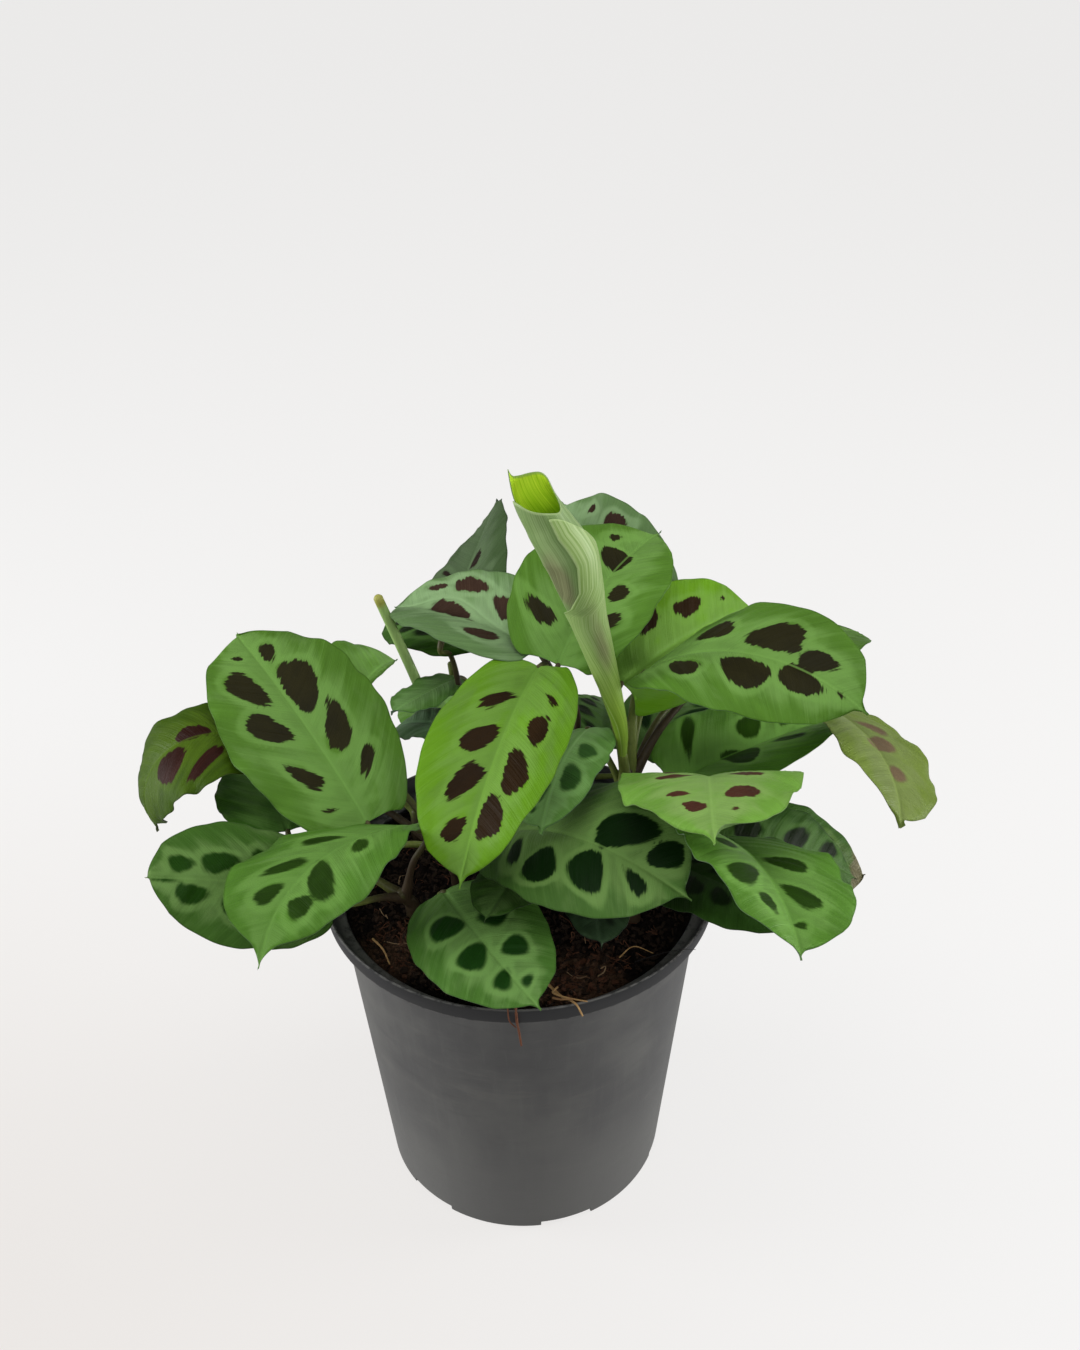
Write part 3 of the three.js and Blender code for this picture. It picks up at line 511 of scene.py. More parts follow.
def blotch_field(leaf, marks, s, across):
    """Millimetres inside the nearest blotch, and below nought outside all of them."""
    x, y = flat_spot(leaf, s, across)
    field = np.full(s.shape, -20.0)
    for number, (s1, a1, s2, a2, wide) in enumerate(marks):
        x1, y1 = flat_spot(leaf, np.array(s1), np.array(a1))
        x2, y2 = flat_spot(leaf, np.array(s2), np.array(a2))
        length = math.hypot(x2 - x1, y2 - y1)
        ux, uy = (x2 - x1) / length, (y2 - y1) / length
        half_long = length / 2 * BLOTCH_STRETCH
        half_wide = wide / 2 * BLOTCH_SPREAD
        dx, dy = x - (x1 + x2) / 2, y - (y1 + y2) / 2
        along = (dx * ux + dy * uy) / half_long
        beside = (dy * ux - dx * uy) + 0.12 * half_wide * (along**2 - 0.3) * np.sign(a1 + a2)
        # One end of each blotch is broad and the other pointed, and which one differs.
        lean = 0.25 if (number + leaf["seed"]) % 3 else -0.2
        across_share = np.abs(beside) / (half_wide * (1 + lean * np.clip(along, -1.2, 1.2)))
        sharpness = np.where(along * lean > 0, 3.0, 1.7)
        ring = (np.abs(along) ** sharpness + across_share**2.2) ** (1 / 2.1)
        field = np.maximum(field, (1 - ring) * min(half_long, half_wide))
    return field


def feather_field(leaf, marks, s, across):
    """1 in the pale feather along the rib, which reaches out at even steps, down to 0 outside it."""
    shifted = np.abs(across - rib_shift(leaf, s))
    start = vein_start(leaf, s, flat_spot(leaf, s, shifted)[1])
    reach = 0.1 * np.cos(2 * math.pi * (start / leaf["length"] / 0.19 + 0.5 * np.sign(across)))
    return 1 - np.clip((shifted + reach - 0.42) / 0.4, 0, 1)


# Colours of each kind of blade, in screen values. They started from colours measured on the photo. With them
# stand the strength of the pale arcs round the blotches, how soft the blotches' edges are, and the share of
# the length from which a tip is dry.
LOOKS = {
    "fresh": dict(outer=(92, 138, 26), pale=(102, 142, 56), blotch=(32, 20, 6), under=(104, 134, 74)),
    "bright": dict(outer=(108, 154, 60), pale=(126, 162, 84), blotch=(66, 36, 28), under=(116, 146, 88)),
    "mid": dict(outer=(78, 118, 38), pale=(104, 144, 68), blotch=(32, 30, 12), under=(98, 124, 92),
        arcs=0.5),
    "mid_green": dict(outer=(80, 124, 42), pale=(102, 144, 66), blotch=(30, 54, 8), under=(98, 124, 88),
        arcs=0.6, soft=0.7),
    # The grey kind is partly painted sheen: its greyish green stands for soft highlights on the blade.
    "grey": dict(outer=(90, 120, 72), pale=(116, 144, 100), blotch=(46, 32, 24), under=(96, 118, 92),
        arcs=0.7),
    "ruddy": dict(outer=(50, 74, 6), pale=(64, 88, 16), blotch=(38, 16, 10), under=(84, 96, 60)),
    "blue": dict(outer=(74, 110, 50), pale=(96, 130, 74), blotch=(34, 60, 24), under=(84, 108, 84),
        arcs=0.6, soft=0.8),
    "olive": dict(outer=(112, 134, 54), pale=(122, 140, 76), blotch=(104, 88, 66), under=(128, 140, 88),
        arcs=0.4, soft=1.0),
    "dark": dict(outer=(52, 90, 26), pale=(84, 122, 56), blotch=(22, 36, 10), under=(62, 80, 54),
        arcs=0.8, soft=0.8),
    "dark_fresh": dict(outer=(66, 104, 40), pale=(96, 132, 68), blotch=(18, 48, 10), under=(72, 94, 60),
        arcs=0.8, soft=1.0),
    "dark_tip": dict(outer=(66, 104, 38), pale=(98, 132, 68), blotch=(26, 58, 8), under=(72, 92, 60),
        arcs=0.8, soft=0.8, dry=0.98),
    "deep": dict(outer=(40, 68, 22), pale=(50, 80, 32), blotch=(20, 36, 12), under=(50, 66, 44),
        arcs=0.5, soft=0.8),
    "deep_banded": dict(outer=(66, 100, 42), pale=(96, 128, 66), blotch=(10, 30, 6), under=(66, 86, 56),
        arcs=0.9, soft=0.5),
    "slate": dict(outer=(48, 68, 42), pale=(60, 82, 56), blotch=(34, 44, 32), under=(44, 52, 46),
        arcs=0.5, soft=1.0),
    "dried": dict(outer=(60, 96, 34), pale=(82, 112, 52), blotch=(32, 44, 20), under=(80, 88, 60),
        arcs=0.8, soft=0.8, dry=0.86),
}


def scaled(colour, factor):
    return tuple(c * factor for c in colour)


def blade_material(name, look, upper):
    """Green blade with blotches between the veins; the lower face is paler and shows them faintly."""
    surface = Surface(name, roughness=0.45, specular=0.06)
    vein = surface.value("vein")
    rib = surface.value("rib")
    distance = surface.math("ABSOLUTE", rib)
    seed = surface.value("seed")
    outer, pale = rgb(*look["outer"]), rgb(*look["pale"])
    blotch = rgb(*look["blotch"])
    if not upper:
        outer, pale = rgb(*look["under"]), scaled(rgb(*look["under"]), 1.12)
        blotch = scaled(rgb(*look["under"]), 0.7)

    def combed(across_veins, along_veins, detail=3.0):
        """Noise about nought that varies quickly across the side veins and slowly along them."""
        spot = surface.vector(surface.math("MULTIPLY", vein, across_veins),
                              surface.math("MULTIPLY", rib, along_veins), seed)
        return surface.math("SUBTRACT", surface.noise(spot, 1.0, detail, 0.6), 0.5)

    def total(first, *others):
        """The first value plus each other value times its amount."""
        for value, amount in others:
            first = surface.math("MULTIPLY_ADD", value, amount, first)
        return first

    # Teeth on the blotches run with the veins.
    even_field = surface.value("blotch")
    soft = look.get("soft", 0.3) if upper else 1.2
    teeth = 1.3 - soft if upper else 0.5
    field = total(even_field, (combed(0.4, 0.05), 4.4 * teeth), (combed(1.3, 0.08), 1.5 * teeth))
    inside = surface.step(field, -soft, soft)

    drift = combed(0.045, 0.06)
    fine_lines = combed(2.2, 0.03, 2.0)
    soft_lines = combed(0.32, 0.02, 2.0)
    feather = surface.step(total(surface.value("feather"), (drift, 0.7), (soft_lines, 0.8)), 0.1, 0.9)
    green = surface.mix(feather, outer, pale)
    green = surface.mix(surface.step(drift, 0.0, 0.25), green, scaled(outer, 1.16))
    green = surface.mix(surface.step(drift, 0.0, -0.25), green, scaled(pale, 0.84))
    for lines, reach, amount in ((soft_lines, 0.2, 0.18), (fine_lines, 0.22, 0.15)):
        green = surface.mix(surface.step(lines, 0.02, reach, 0.0, amount), green, scaled(pale, 1.22))
        green = surface.mix(surface.step(lines, -0.02, -reach, 0.0, amount), green, scaled(outer, 0.7))
    # A pale arc follows each blotch and runs into the pale band along the rib.
    uneven = total(even_field, (drift, 3.0), (soft_lines, 1.5))
    halo = surface.math("MULTIPLY", surface.step(uneven, -3.8, -1.8), surface.step(uneven, 0.2, -1.0))
    green = surface.mix(surface.math("MULTIPLY", halo, look.get("arcs", 0.35)), green, scaled(pale, 1.2))
    from_rib = total(distance, (surface.value("along"), 1.8), (soft_lines, 2.0))
    green = surface.mix(surface.step(from_rib, 3.4, 0.8, 0.0, 0.6), green, scaled(pale, 1.15))

    spotted = surface.mix(surface.step(drift, -0.2, 0.2), blotch, scaled(blotch, 1.5))
    spotted = surface.mix(surface.step(fine_lines, 0.05, 0.25, 0.0, 0.3), spotted, scaled(blotch, 2.2))
    painted = surface.mix(inside, green, spotted)

    ribbed = surface.mix(surface.step(distance, 0.7, 0.2, 0.0, 0.5), painted, scaled(pale, 1.3))
    margin = surface.step(surface.value("margin"), 0.9, 0.2, 0.0, 0.45)
    colour = surface.mix(margin, ribbed, scaled(outer, 0.6))
    if "dry" in look:
        fray = total(surface.value("along"), (drift, 0.12), (fine_lines, 0.06))
        dry = surface.step(fray, look["dry"], look["dry"] + 0.05)
        tan = surface.mix(surface.step(fine_lines, -0.2, 0.2), rgb(92, 88, 62), rgb(130, 126, 94))
        colour = surface.mix(dry, colour, tan)
    # Each blade's tone factor scales its colour: partly its own tone, partly painted light and shade for
    # where the blade lies.
    toned = surface.node("ShaderNodeVectorMath", {0: colour, 3: surface.value("tone")}, operation="SCALE")
    surface.colour(toned)
    surface.rough(surface.step(drift, -0.25, 0.25, 0.36, 0.5))
    pores = surface.noise(surface.place(), 1.6, 2.0)
    groove = surface.step(distance, 0.2, 1.6, 0.0, 1.2)
    height = total(groove, (soft_lines, 2.4), (fine_lines, 1.2), (pores, 0.5))
    surface.bump(height, 0.55 if upper else 0.8, 0.35)
    return surface.material


ROWS_ALONG = 84
COLUMNS_ACROSS = 45
BLADE_THICKNESS = 0.5
RIB_HEIGHT = 0.7
blade_materials = {}
for look_name, look_values in LOOKS.items():
    blade_materials[look_name] = (
        blade_material(f"{look_name}_upper", look_values, True),
        blade_material(f"{look_name}_lower", look_values, False),
    )


def build_blade(name, leaf):
    # Rows and columns crowd towards the ends and the margins, where the outline turns.
    row_share = np.linspace(0, 1, ROWS_ALONG)
    s_values = (row_share - 0.09 * np.sin(2 * math.pi * row_share)) * (1 + leaf["point"])
    column_share = np.linspace(-1, 1, COLUMNS_ACROSS)
    across_values = np.sin(column_share * math.pi / 2) * 0.75 + column_share * 0.25
    s, across = np.meshgrid(s_values, across_values, indexing="ij")
    middle, normal = blade_points(leaf, s, across)
    half = outline(leaf, s, across)
    rib = (across - rib_shift(leaf, s)) * half
    distance = np.abs(rib)
    margin = (1 - np.abs(across)) * half
    vein = vein_start(leaf, s, distance)
    # The blade rises a little between its side veins.
    quilt = 0.2 * np.sin(vein * 2 * math.pi / 7.5 + leaf["seed"]) + 0.1 * np.sin(vein * 2 * math.pi / 3.1)
    quilt = quilt * np.clip(distance / 6, 0, 1) * np.clip(margin / 5, 0, 1)
    thick = BLADE_THICKNESS * np.clip(0.45 + margin / 3, 0.45, 1)
    taper = 1 - 0.65 * np.clip(s, 0, 1)
    keel = RIB_HEIGHT * taper * np.exp(-((distance / (0.9 * taper)) ** 2))
    groove = 0.3 * taper * np.exp(-((distance / 0.9) ** 2))
    upper = middle + normal * (thick / 2 - groove + quilt)[..., None]
    lower = middle - normal * (thick / 2 + keel - quilt)[..., None]
    points = np.concatenate([upper.reshape(-1, 3), lower.reshape(-1, 3)])
    top, bottom, edge = sheet_faces(ROWS_ALONG, COLUMNS_ACROSS)
    marks = MARKS[name] if name in MARKS else usual_marks(leaf)
    fields = {
        "vein": vein,
        "rib": rib,
        "blotch": blotch_field(leaf, marks, s, across),
        "feather": feather_field(leaf, marks, s, across),
        "margin": margin,
        "along": s,
        "seed": np.full(s.shape, leaf["seed"] * 7.3),
        "tone": np.full(s.shape, float(leaf["tone"])),
    }
    values = {key: np.tile(field.ravel(), 2) for key, field in fields.items()}
    uv = np.tile(np.stack([s.ravel(), (across.ravel() + 1) / 2], axis=-1), (2, 1))
    piece = make_object(
        f"blade_{name}", points, top + bottom + edge, blade_materials[leaf["look"]],
        [0] * len(top) + [1] * (len(bottom) + len(edge)), values, uv,
    )
    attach(piece, "root")
    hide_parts(name)


# Shoots: a stem sunk in the soil with a stalk for every blade
STEM_BOTTOM = SOIL_LEVEL - 12
SHOOTS = {
    "shoot_left": dict(
        foot=(-27, 0), top=(-30, -2, 172),
        stalks=dict(leaf_left_large={}, leaf_left_far={}, leaf_left_behind={})),
    "shoot_left_front": dict(
        foot=(-46, -18), top=(-50, -20, 163),
        stalks=dict(leaf_left_front=dict(dusk=0.7), leaf_left_low=dict(dusk=0.3),
                    leaf_left_under=dict(via=[(-72, -14, 174)]))),
    "shoot_back_left": dict(
        foot=(-20, 42), top=(-21, 44, 176),
        stalks=dict(leaf_top_left_upright=dict(via=[(-24, 56, 210), (-28, 58, 232)], dusk=0.8),
                    leaf_top_left_under={}, leaf_small_left={}, leaf_small_left_under={})),
    "shoot_centre": dict(
        foot=(12, 26), top=(12, 26, 180),
        stalks=dict(leaf_centre={},
                    leaf_top_centre=dict(via=[(26, 20, 215), (24, 15, 235)], dusk=0.8),
                    leaf_top_left=dict(via=[(18, 24, 215), (18, 24, 240)], dusk=0.8))),
    "shoot_right": dict(
        foot=(46, 4), top=(46, 3, 206),
        stalks=dict(leaf_right_large=dict(sheath=2.4, dusk=-0.3), leaf_right_behind={}, leaf_top_back={},
                    leaf_small_centre={},
                    leaf_right_far=dict(start=196, via=[(64, 20, 220), (92, 46, 226)]),
                    leaf_right_back=dict(start=194, via=[(60, 24, 216)]))),
    "shoot_right_low": dict(
        foot=(60, 4), top=(62, 4, 166),
        stalks=dict(leaf_right_mid={}, leaf_right_low=dict(steep=0.1, via=[(66, -16, 194)]),
                    leaf_right_lowest={})),
    "shoot_front_right": dict(
        foot=(48, -24), top=(50, -25, 168),
        stalks=dict(leaf_front_right_bright={},
                    leaf_front_right_large=dict(via=[(58, -15, 192), (69, -28, 204)]),
                    leaf_front_right_under={}, leaf_front_hanging={})),
    "shoot_front": dict(
        foot=(-10, -12), top=(-10, -13, 168),
        stalks=dict(leaf_front_centre={}, leaf_front_low={}, leaf_front_small={})),
    "shoot_back": dict(
        foot=(18, 56), top=(18, 57, 164),
        stalks=dict(leaf_back_centre={}, leaf_back_upper={}, leaf_back_right={})),
    "shoot_back_far_left": dict(
        foot=(-46, 36), top=(-46, 38, 162),
        stalks=dict(leaf_back_left={}, leaf_back_left_mid={})),
}
# A dry stub stands on one shoot, and the rolled leaf's stalk on another.
TWIGS = {
    "shoot_back_left": dict(
        route=[(-21, 44, 162), (-25, 62, 188), (-29, 75, 217)],
        steps=24, radii=(1.6, 1.4), sides=10, dusk=0.0),
    "shoot_right": dict(
        route=[(46, 3, 190), (45.5, 1, 205), (44, 0, 217)],
        steps=16, radii=(2.6, 2.0), sides=16, dusk=-0.4),
}
CANE = [(-26, 60, 137), (-27, 60, 155), (-39, 65, 195), (-44, 66, 213), (-58, 61, 260)]


def stem_path(shoot, count):
    x, y = shoot["foot"]
    top = np.array(shoot["top"], dtype=float)
    straight = np.array([x, y, SOIL_LEVEL + 6])
    return spline([(x, y, STEM_BOTTOM), straight, (straight + top) / 2, top], count)


def stalk_path(shoot, leaf, stalk, count):
    height = stalk.get("start", SOIL_LEVEL + 10 + 0.7 * (shoot["top"][2] - 3 - SOIL_LEVEL - 10))
    share = (height - STEM_BOTTOM) / (shoot["top"][2] - STEM_BOTTOM)
    stem = stem_path(shoot, 100)
    start = stem[int(round(min(max(share, 0), 1) * 100))]
    along = blade_frame(leaf, np.array(0.0))[0]
    arrive = along + np.array([0, 0, stalk.get("steep", 0.7)])
    arrive = arrive / np.linalg.norm(arrive)
    end = np.asarray(leaf["base"]) + along * 0.2
    before = end - arrive * 9
    between = stalk.get("via")
    if between is None:
        between = [start * (0.6, 0.6, 0.45) + before * (0.4, 0.4, 0.55)]
    return spline([start, *between, before, end], count)


def stalk_material():
    surface = Surface("stalks", roughness=0.45, specular=0.2)
    spot = surface.place()
    streak = surface.stretched(spot, (0.9, 0.9, 0.12))
    cloud = surface.noise(spot, 0.05, 2.0)
    kind = surface.value("kind")
    way = surface.value("way")
    green = surface.mix(streak, rgb(78, 94, 34), rgb(116, 126, 62))
    dusky = surface.mix(streak, rgb(42, 30, 26), rgb(72, 62, 42))
    purple = surface.step(surface.math("ADD", surface.math("SUBTRACT", cloud, way), kind), 0.1, 0.6)
    body = surface.mix(purple, green, dusky)
    joint = surface.step(way, 0.86, 0.93, 0.0, 0.7)
    body = surface.mix(joint, body, rgb(66, 52, 40))
    surface.colour(body)
    surface.bump(streak, 0.5, 0.3)
    return surface.material


def cane_material():
    surface = Surface("cane", roughness=0.5, specular=0.35)
    streak = surface.stretched(surface.place(), (1.2, 1.2, 0.08))
    way = surface.value("way")
    green = surface.mix(streak, rgb(124, 158, 84), rgb(170, 198, 126))
    tip = surface.mix(surface.step(way, 0.955, 0.985), green, rgb(150, 150, 70))
    surface.colour(surface.mix(surface.step(way, 0.45, 0.2), tip, rgb(70, 66, 40)))
    surface.bump(streak, 0.5, 0.4)
    return surface.material


STALKS = stalk_material()
CANE_LOOK = cane_material()


def build_shoot(name, shoot):
    parts = Parts("kind", "way")
    random = np.random.RandomState(sum(map(ord, name)))
    stem = stem_path(shoot, 40)
    ring = np.linspace(0, 1, len(stem))
    thick = 3.4 - 0.8 * ring + 0.35 * np.exp(-(((ring - 0.62) / 0.05) ** 2))
    points, faces, way = tube(stem, thick, 18)
    parts.add(points, faces, kind=0.35, way=way * 0.4)
    for leaf_name, stalk in shoot["stalks"].items():
        path = stalk_path(shoot, LEAVES[leaf_name], stalk, 60)
        share = np.linspace(0, 1, len(path))
        # The stalk swells again just below the blade, where it bends.
        thick = 1.8 - 0.85 * share + 0.45 * np.exp(-(((share - 0.94) / 0.05) ** 2))
        clasp = 0.9 * np.exp(-((share / 0.16) ** 2))
        clasp = clasp + stalk.get("sheath", 0) * np.exp(-((share / 0.6) ** 2))
        points, faces, way = tube(path, thick + clasp, 14)
        usual = random.uniform(-0.15, 0.5)
        parts.add(points, faces, kind=stalk.get("dusk", usual), way=way)
    if name in TWIGS:
        twig = TWIGS[name]
        radii = np.linspace(*twig["radii"], twig["steps"] + 1)
        points, faces, way = tube(spline(twig["route"], twig["steps"]), radii, twig["sides"])
        parts.add(points, faces, kind=twig["dusk"], way=way * 0.5)
    piece = parts.build(f"stems_{name}", STALKS)
    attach(piece, "root")
    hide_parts(name)


def build_cane():
    path = spline(CANE, 60)
    points, faces, way = tube(path, np.linspace(2.8, 2.1, 61), 16)
    parts = Parts("way")
    parts.add(points, faces, way=way)
    piece = parts.build("cane_cut_off", CANE_LOOK)
    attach(piece, "root")
    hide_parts("cut_cane")


# Rolled leaf: one sheet wound round a curved centre line, with a slanting open mouth
ROLL_CENTRES = [
    (44, 0, 216), (43, 0, 229), (39, 2, 246), (35, 4, 262), (30, 5, 280), (26, 6, 295), (22, 7, 308),
    (15.5, 8, 320), (9.5, 8, 332), (6.5, 9, 346),
]
ROLL_RADII = [1.7, 3.0, 4.6, 5.8, 7.6, 9.8, 11.6, 11.6, 10.2, 9.2]
ROLL_LENGTH = 137
# Directions are in degrees: 0 is right, 90 is back, 180 is left, 270 and -90 face the camera.
ROLL_START = -62
ROLL_END = 540
# The seam: share of the height and direction. The rim: direction round the winding and drop in millimetres.
SEAM = [
    (0, -100), (0.13, -110), (0.24, -140), (0.37, -175), (0.47, -190), (0.52, -180), (0.55, -125),
    (0.6, -92), (0.68, -80), (0.78, -84), (1, -62),
]
RIM = [
    (-62, 20), (-40, 23), (-20, 29), (0, 36), (30, 45), (90, 45), (130, 30), (160, 18), (180, 14),
    (200, 13), (225, 13), (250, 15), (300, 19), (320, 21), (340, 23), (360, 21), (380, 11), (400, 8),
    (420, 7), (450, 7), (490, 7), (520, 6), (540, 1),
]


def rolled_material(inner):
    surface = Surface("roll_inner" if inner else "roll_outer", roughness=0.42, specular=0.2)
    turn = surface.value("turn")
    way = surface.value("way")
    combed = surface.vector(surface.math("MULTIPLY", turn, 14.0), surface.math("MULTIPLY", way, 2.2))
    streak = surface.noise(combed, 1.0, 4.0, 0.65)
    cloud = surface.noise(surface.place(), 0.055, 2.0, 0.5)
    edge = surface.value("edge")
    if inner:
        # The inner face is painted light: a bright yellow-green that stands for light shining through the
        # rolled leaf.
        glow = surface.mix(surface.step(streak, 0.35, 0.65), rgb(152, 204, 14), rgb(215, 242, 66))
        colour = surface.mix(surface.step(cloud, 0.4, 0.65, 0.0, 0.4), glow, rgb(136, 190, 14))
        colour = surface.mix(surface.step(edge, 1.6, 0.4, 0.0, 0.8), colour, rgb(104, 134, 60))
    else:
        shares = surface.step(streak, 0.34, 0.66)
        # The layer left of the seam gets a darker copy of the green, as painted shade.
        bright = surface.mix(shares, rgb(118, 146, 76), rgb(156, 178, 120))
        shade = surface.mix(shares, rgb(108, 134, 80), rgb(138, 162, 108))
        colour = surface.mix(surface.value("left"), bright, shade)
        fresh = surface.mix(shares, rgb(100, 134, 34), rgb(138, 168, 62))
        colour = surface.mix(surface.step(way, 0.5, 0.12), colour, fresh)
        smoky = surface.mix(shares, rgb(98, 96, 72), rgb(132, 130, 98))
        blur = surface.math("MULTIPLY_ADD", surface.math("SUBTRACT", cloud, 0.5), 0.6, surface.value("dusk"))
        colour = surface.mix(surface.step(blur, 0.15, 0.75, 0.0, 0.85), colour, smoky)
        # A pale line along the free edge is a painted highlight.
        rim = surface.step(edge, 1.2, 0.3, 0.0, 0.5)
        colour = surface.mix(rim, colour, rgb(164, 186, 128))
    surface.colour(colour)
    surface.bump(streak, 0.4, 0.3)
    return surface.material


def build_rolled_leaf():
    rows, columns = 110, 180
    smooth_line = spline(ROLL_CENTRES, 200)
    line = np.asarray(ROLL_CENTRES, dtype=float)
    spacing = np.concatenate([[0], np.cumsum(np.linalg.norm(np.diff(line, axis=0), axis=1))])
    spacing /= spacing[-1]

    def centre_at(t):
        return np.stack([np.interp(t, np.linspace(0, 1, 201), smooth_line[:, k]) for k in range(3)], axis=-1)

    turn_values = np.linspace(ROLL_START, ROLL_END, columns)
    drop = np.interp(turn_values, *zip(*RIM))
    drop = np.convolve(np.pad(drop, 3, mode="edge"), np.ones(7) / 7, mode="valid")
    t, turn = np.meshgrid(np.linspace(0, 1, rows), turn_values, indexing="ij")
    height = t * (1 - drop / ROLL_LENGTH)
    angle = np.radians(turn - ROLL_START + np.interp(height, *zip(*SEAM)))
    inward = (turn - ROLL_START) / (ROLL_END - ROLL_START)
    tangent = centre_at(np.clip(height + 0.01, 0, 1)) - centre_at(np.clip(height - 0.01, 0, 1))
    tangent /= np.linalg.norm(tangent, axis=-1)[..., None]
    right = np.array([1.0, 0, 0]) - tangent * tangent[..., :1]
    right /= np.linalg.norm(right, axis=-1)[..., None]
    back = np.cross(tangent, right)
    at_mouth = np.clip((height - 0.7) / 0.12, 0, 1)
    tighter = 0.2 + 0.2 * at_mouth
    radius = np.interp(height, spacing, ROLL_RADII) * (1.02 - tighter * inward)
    # The innermost edge springs out at the mouth, and the outer one lifts a little from the layer below.
    radius = radius * (1 + 0.32 * np.exp(-(((1 - inward) / 0.07) ** 2)) * at_mouth)
    radius = radius * (1 + 0.05 * np.exp(-inward / 0.04) * np.clip(height / 0.5, 0, 1))
    out = right * np.cos(angle)[..., None] + back * np.sin(angle)[..., None]
    outer = centre_at(height) + out * radius[..., None]
    inner = outer - out * 0.4
    points = np.concatenate([outer.reshape(-1, 3), inner.reshape(-1, 3)])
    top, bottom, edge = sheet_faces(rows, columns)
    facing = (np.degrees(angle) + 90) % 360
    facing = np.where(facing > 180, facing - 360, facing)
    # Two dusky patches: one on the layer left of the free edge, and one lower down on the band over it.
    upper = np.exp(-(((height - 0.64) / 0.1) ** 2) - ((facing + 45) / 38) ** 2) * (inward > 0.3)
    lower = np.exp(-(((height - 0.42) / 0.12) ** 2) - ((facing - 20) / 36) ** 2)
    fields = {
        "way": height,
        "turn": np.radians(turn),
        "dusk": np.maximum(upper, lower * 0.6),
        "left": np.clip((inward - 0.3) / 0.1, 0, 1) * np.clip(height / 0.3, 0, 1),
        "edge": np.minimum((1 - t) * ROLL_LENGTH, inward * 120),
    }
    values = {key: np.tile(field.ravel(), 2) for key, field in fields.items()}
    piece = make_object(
        "roll_of_new_leaf", points, top + bottom + edge, [rolled_material(False), rolled_material(True)],
        [0] * len(top) + [1] * len(bottom) + [0] * len(edge), values,
    )
    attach(piece, "root")
    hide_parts("rolled_leaf")


# Pot: a turned shell with a stepped collar, and notches and drain holes cut from it
POT_SIDES = 192
NOTCHES = 6
NOTCH_SIZE = (12, 24, 6)
NOTCH_START = -74
DRAINS = 8
DRAIN_RADIUS = 5
DRAIN_RING = 38.5
DRAIN_START = 22.5
POT_PROFILE = [
    (0, 0), (22, 0), (22.5, 2.6), (54.5, 2.6), (55, 0), (62, 0), (63.6, 0.6), (BASE_RADIUS, 1.6),
    (71.2, 76), (78.3, 148.0), (79.2, 149.0), (83.8, 149.5), (84.5, 150.2), (85.8, 156.8), (85.6, 157.7),
    (85.0, 158), (84.2, 157.7), (83.6, 157), (82.3, 151.2), (81.4, 150.9), (77.0, 149.9), (76.3, 149.2),
    (76.2, 146), (61.2, 8), (59.7, 5), (0, 5),
]


def pot_material():
    """Matt grey body with faint smears; the collar is nearly black, and the inside is nearly black as painted
    shade.
    """
    surface = Surface("pot_plastic", roughness=0.45, specular=0.5)
    spot = surface.place()
    height = surface.value("height")

    cloud = surface.noise(spot, 0.022, 4.0, 0.6)
    streaks = surface.stretched(spot, (0.3, 0.3, 0.01), 4.0, 0.65)
    smears = surface.stretched(spot, (0.03, 0.03, 0.16), 5.0, 0.65)
    flecks = surface.noise(spot, 0.35, 4.0, 0.7)
    body = surface.mix(surface.step(cloud, 0.35, 0.65), rgb(76, 76, 76), rgb(92, 92, 90))
    body = surface.mix(surface.step(streaks, 0.5, 0.7, 0.0, 0.15), body, rgb(104, 104, 102))
    body = surface.mix(surface.step(smears, 0.54, 0.68, 0.0, 0.2), body, rgb(108, 107, 102))
    body = surface.mix(surface.step(smears, 0.44, 0.3, 0.0, 0.2), body, rgb(58, 58, 58))
    body = surface.mix(surface.step(flecks, 0.7, 0.78, 0.0, 0.4), body, rgb(128, 126, 120))
    body = surface.mix(surface.step(height, 95, 5, 0.0, 0.7), body, rgb(104, 104, 102))
    # Nearly black for the collar, and for the inside as painted shade.
    dark = surface.mix(smears, rgb(24, 25, 27), rgb(38, 38, 40))
    colour = surface.mix(surface.value("dark"), body, dark)
    above = surface.step(height, 149.3, 149.9)
    below = surface.step(height, 151.0, 150.2)
    # The collar's step and the top of the lip are lighter, in streaks.
    lighter_ledges = surface.math("MAXIMUM", surface.math("MULTIPLY", above, below), surface.step(height, 157.5, 157.9))
    lighter_ledges = surface.math("MULTIPLY", lighter_ledges, surface.step(streaks, 0.35, 0.55, 0.1, 0.6))
    surface.colour(surface.mix(lighter_ledges, colour, rgb(118, 117, 114)))
    surface.rough(surface.step(cloud, 0.3, 0.7, 0.4, 0.54))
    grain = surface.noise(spot, 1.4, 2.0)
    surface.bump(surface.math("MULTIPLY_ADD", smears, 1.2, grain), 0.35, 0.12)
    return surface.material


def add_cutter(whole, shape, degrees):
    """Turns a shape round the pot's axis and adds it to the mesh of all cutters."""
    matrix = Matrix.Rotation(math.radians(degrees), 3, "Z")
    bmesh.ops.rotate(shape, cent=(0, 0, 0), matrix=matrix, verts=shape.verts)
    part = bpy.data.meshes.new("cutter")
    shape.to_mesh(part)
    whole.from_mesh(part)
    shape.free()
    bpy.data.meshes.remove(part)


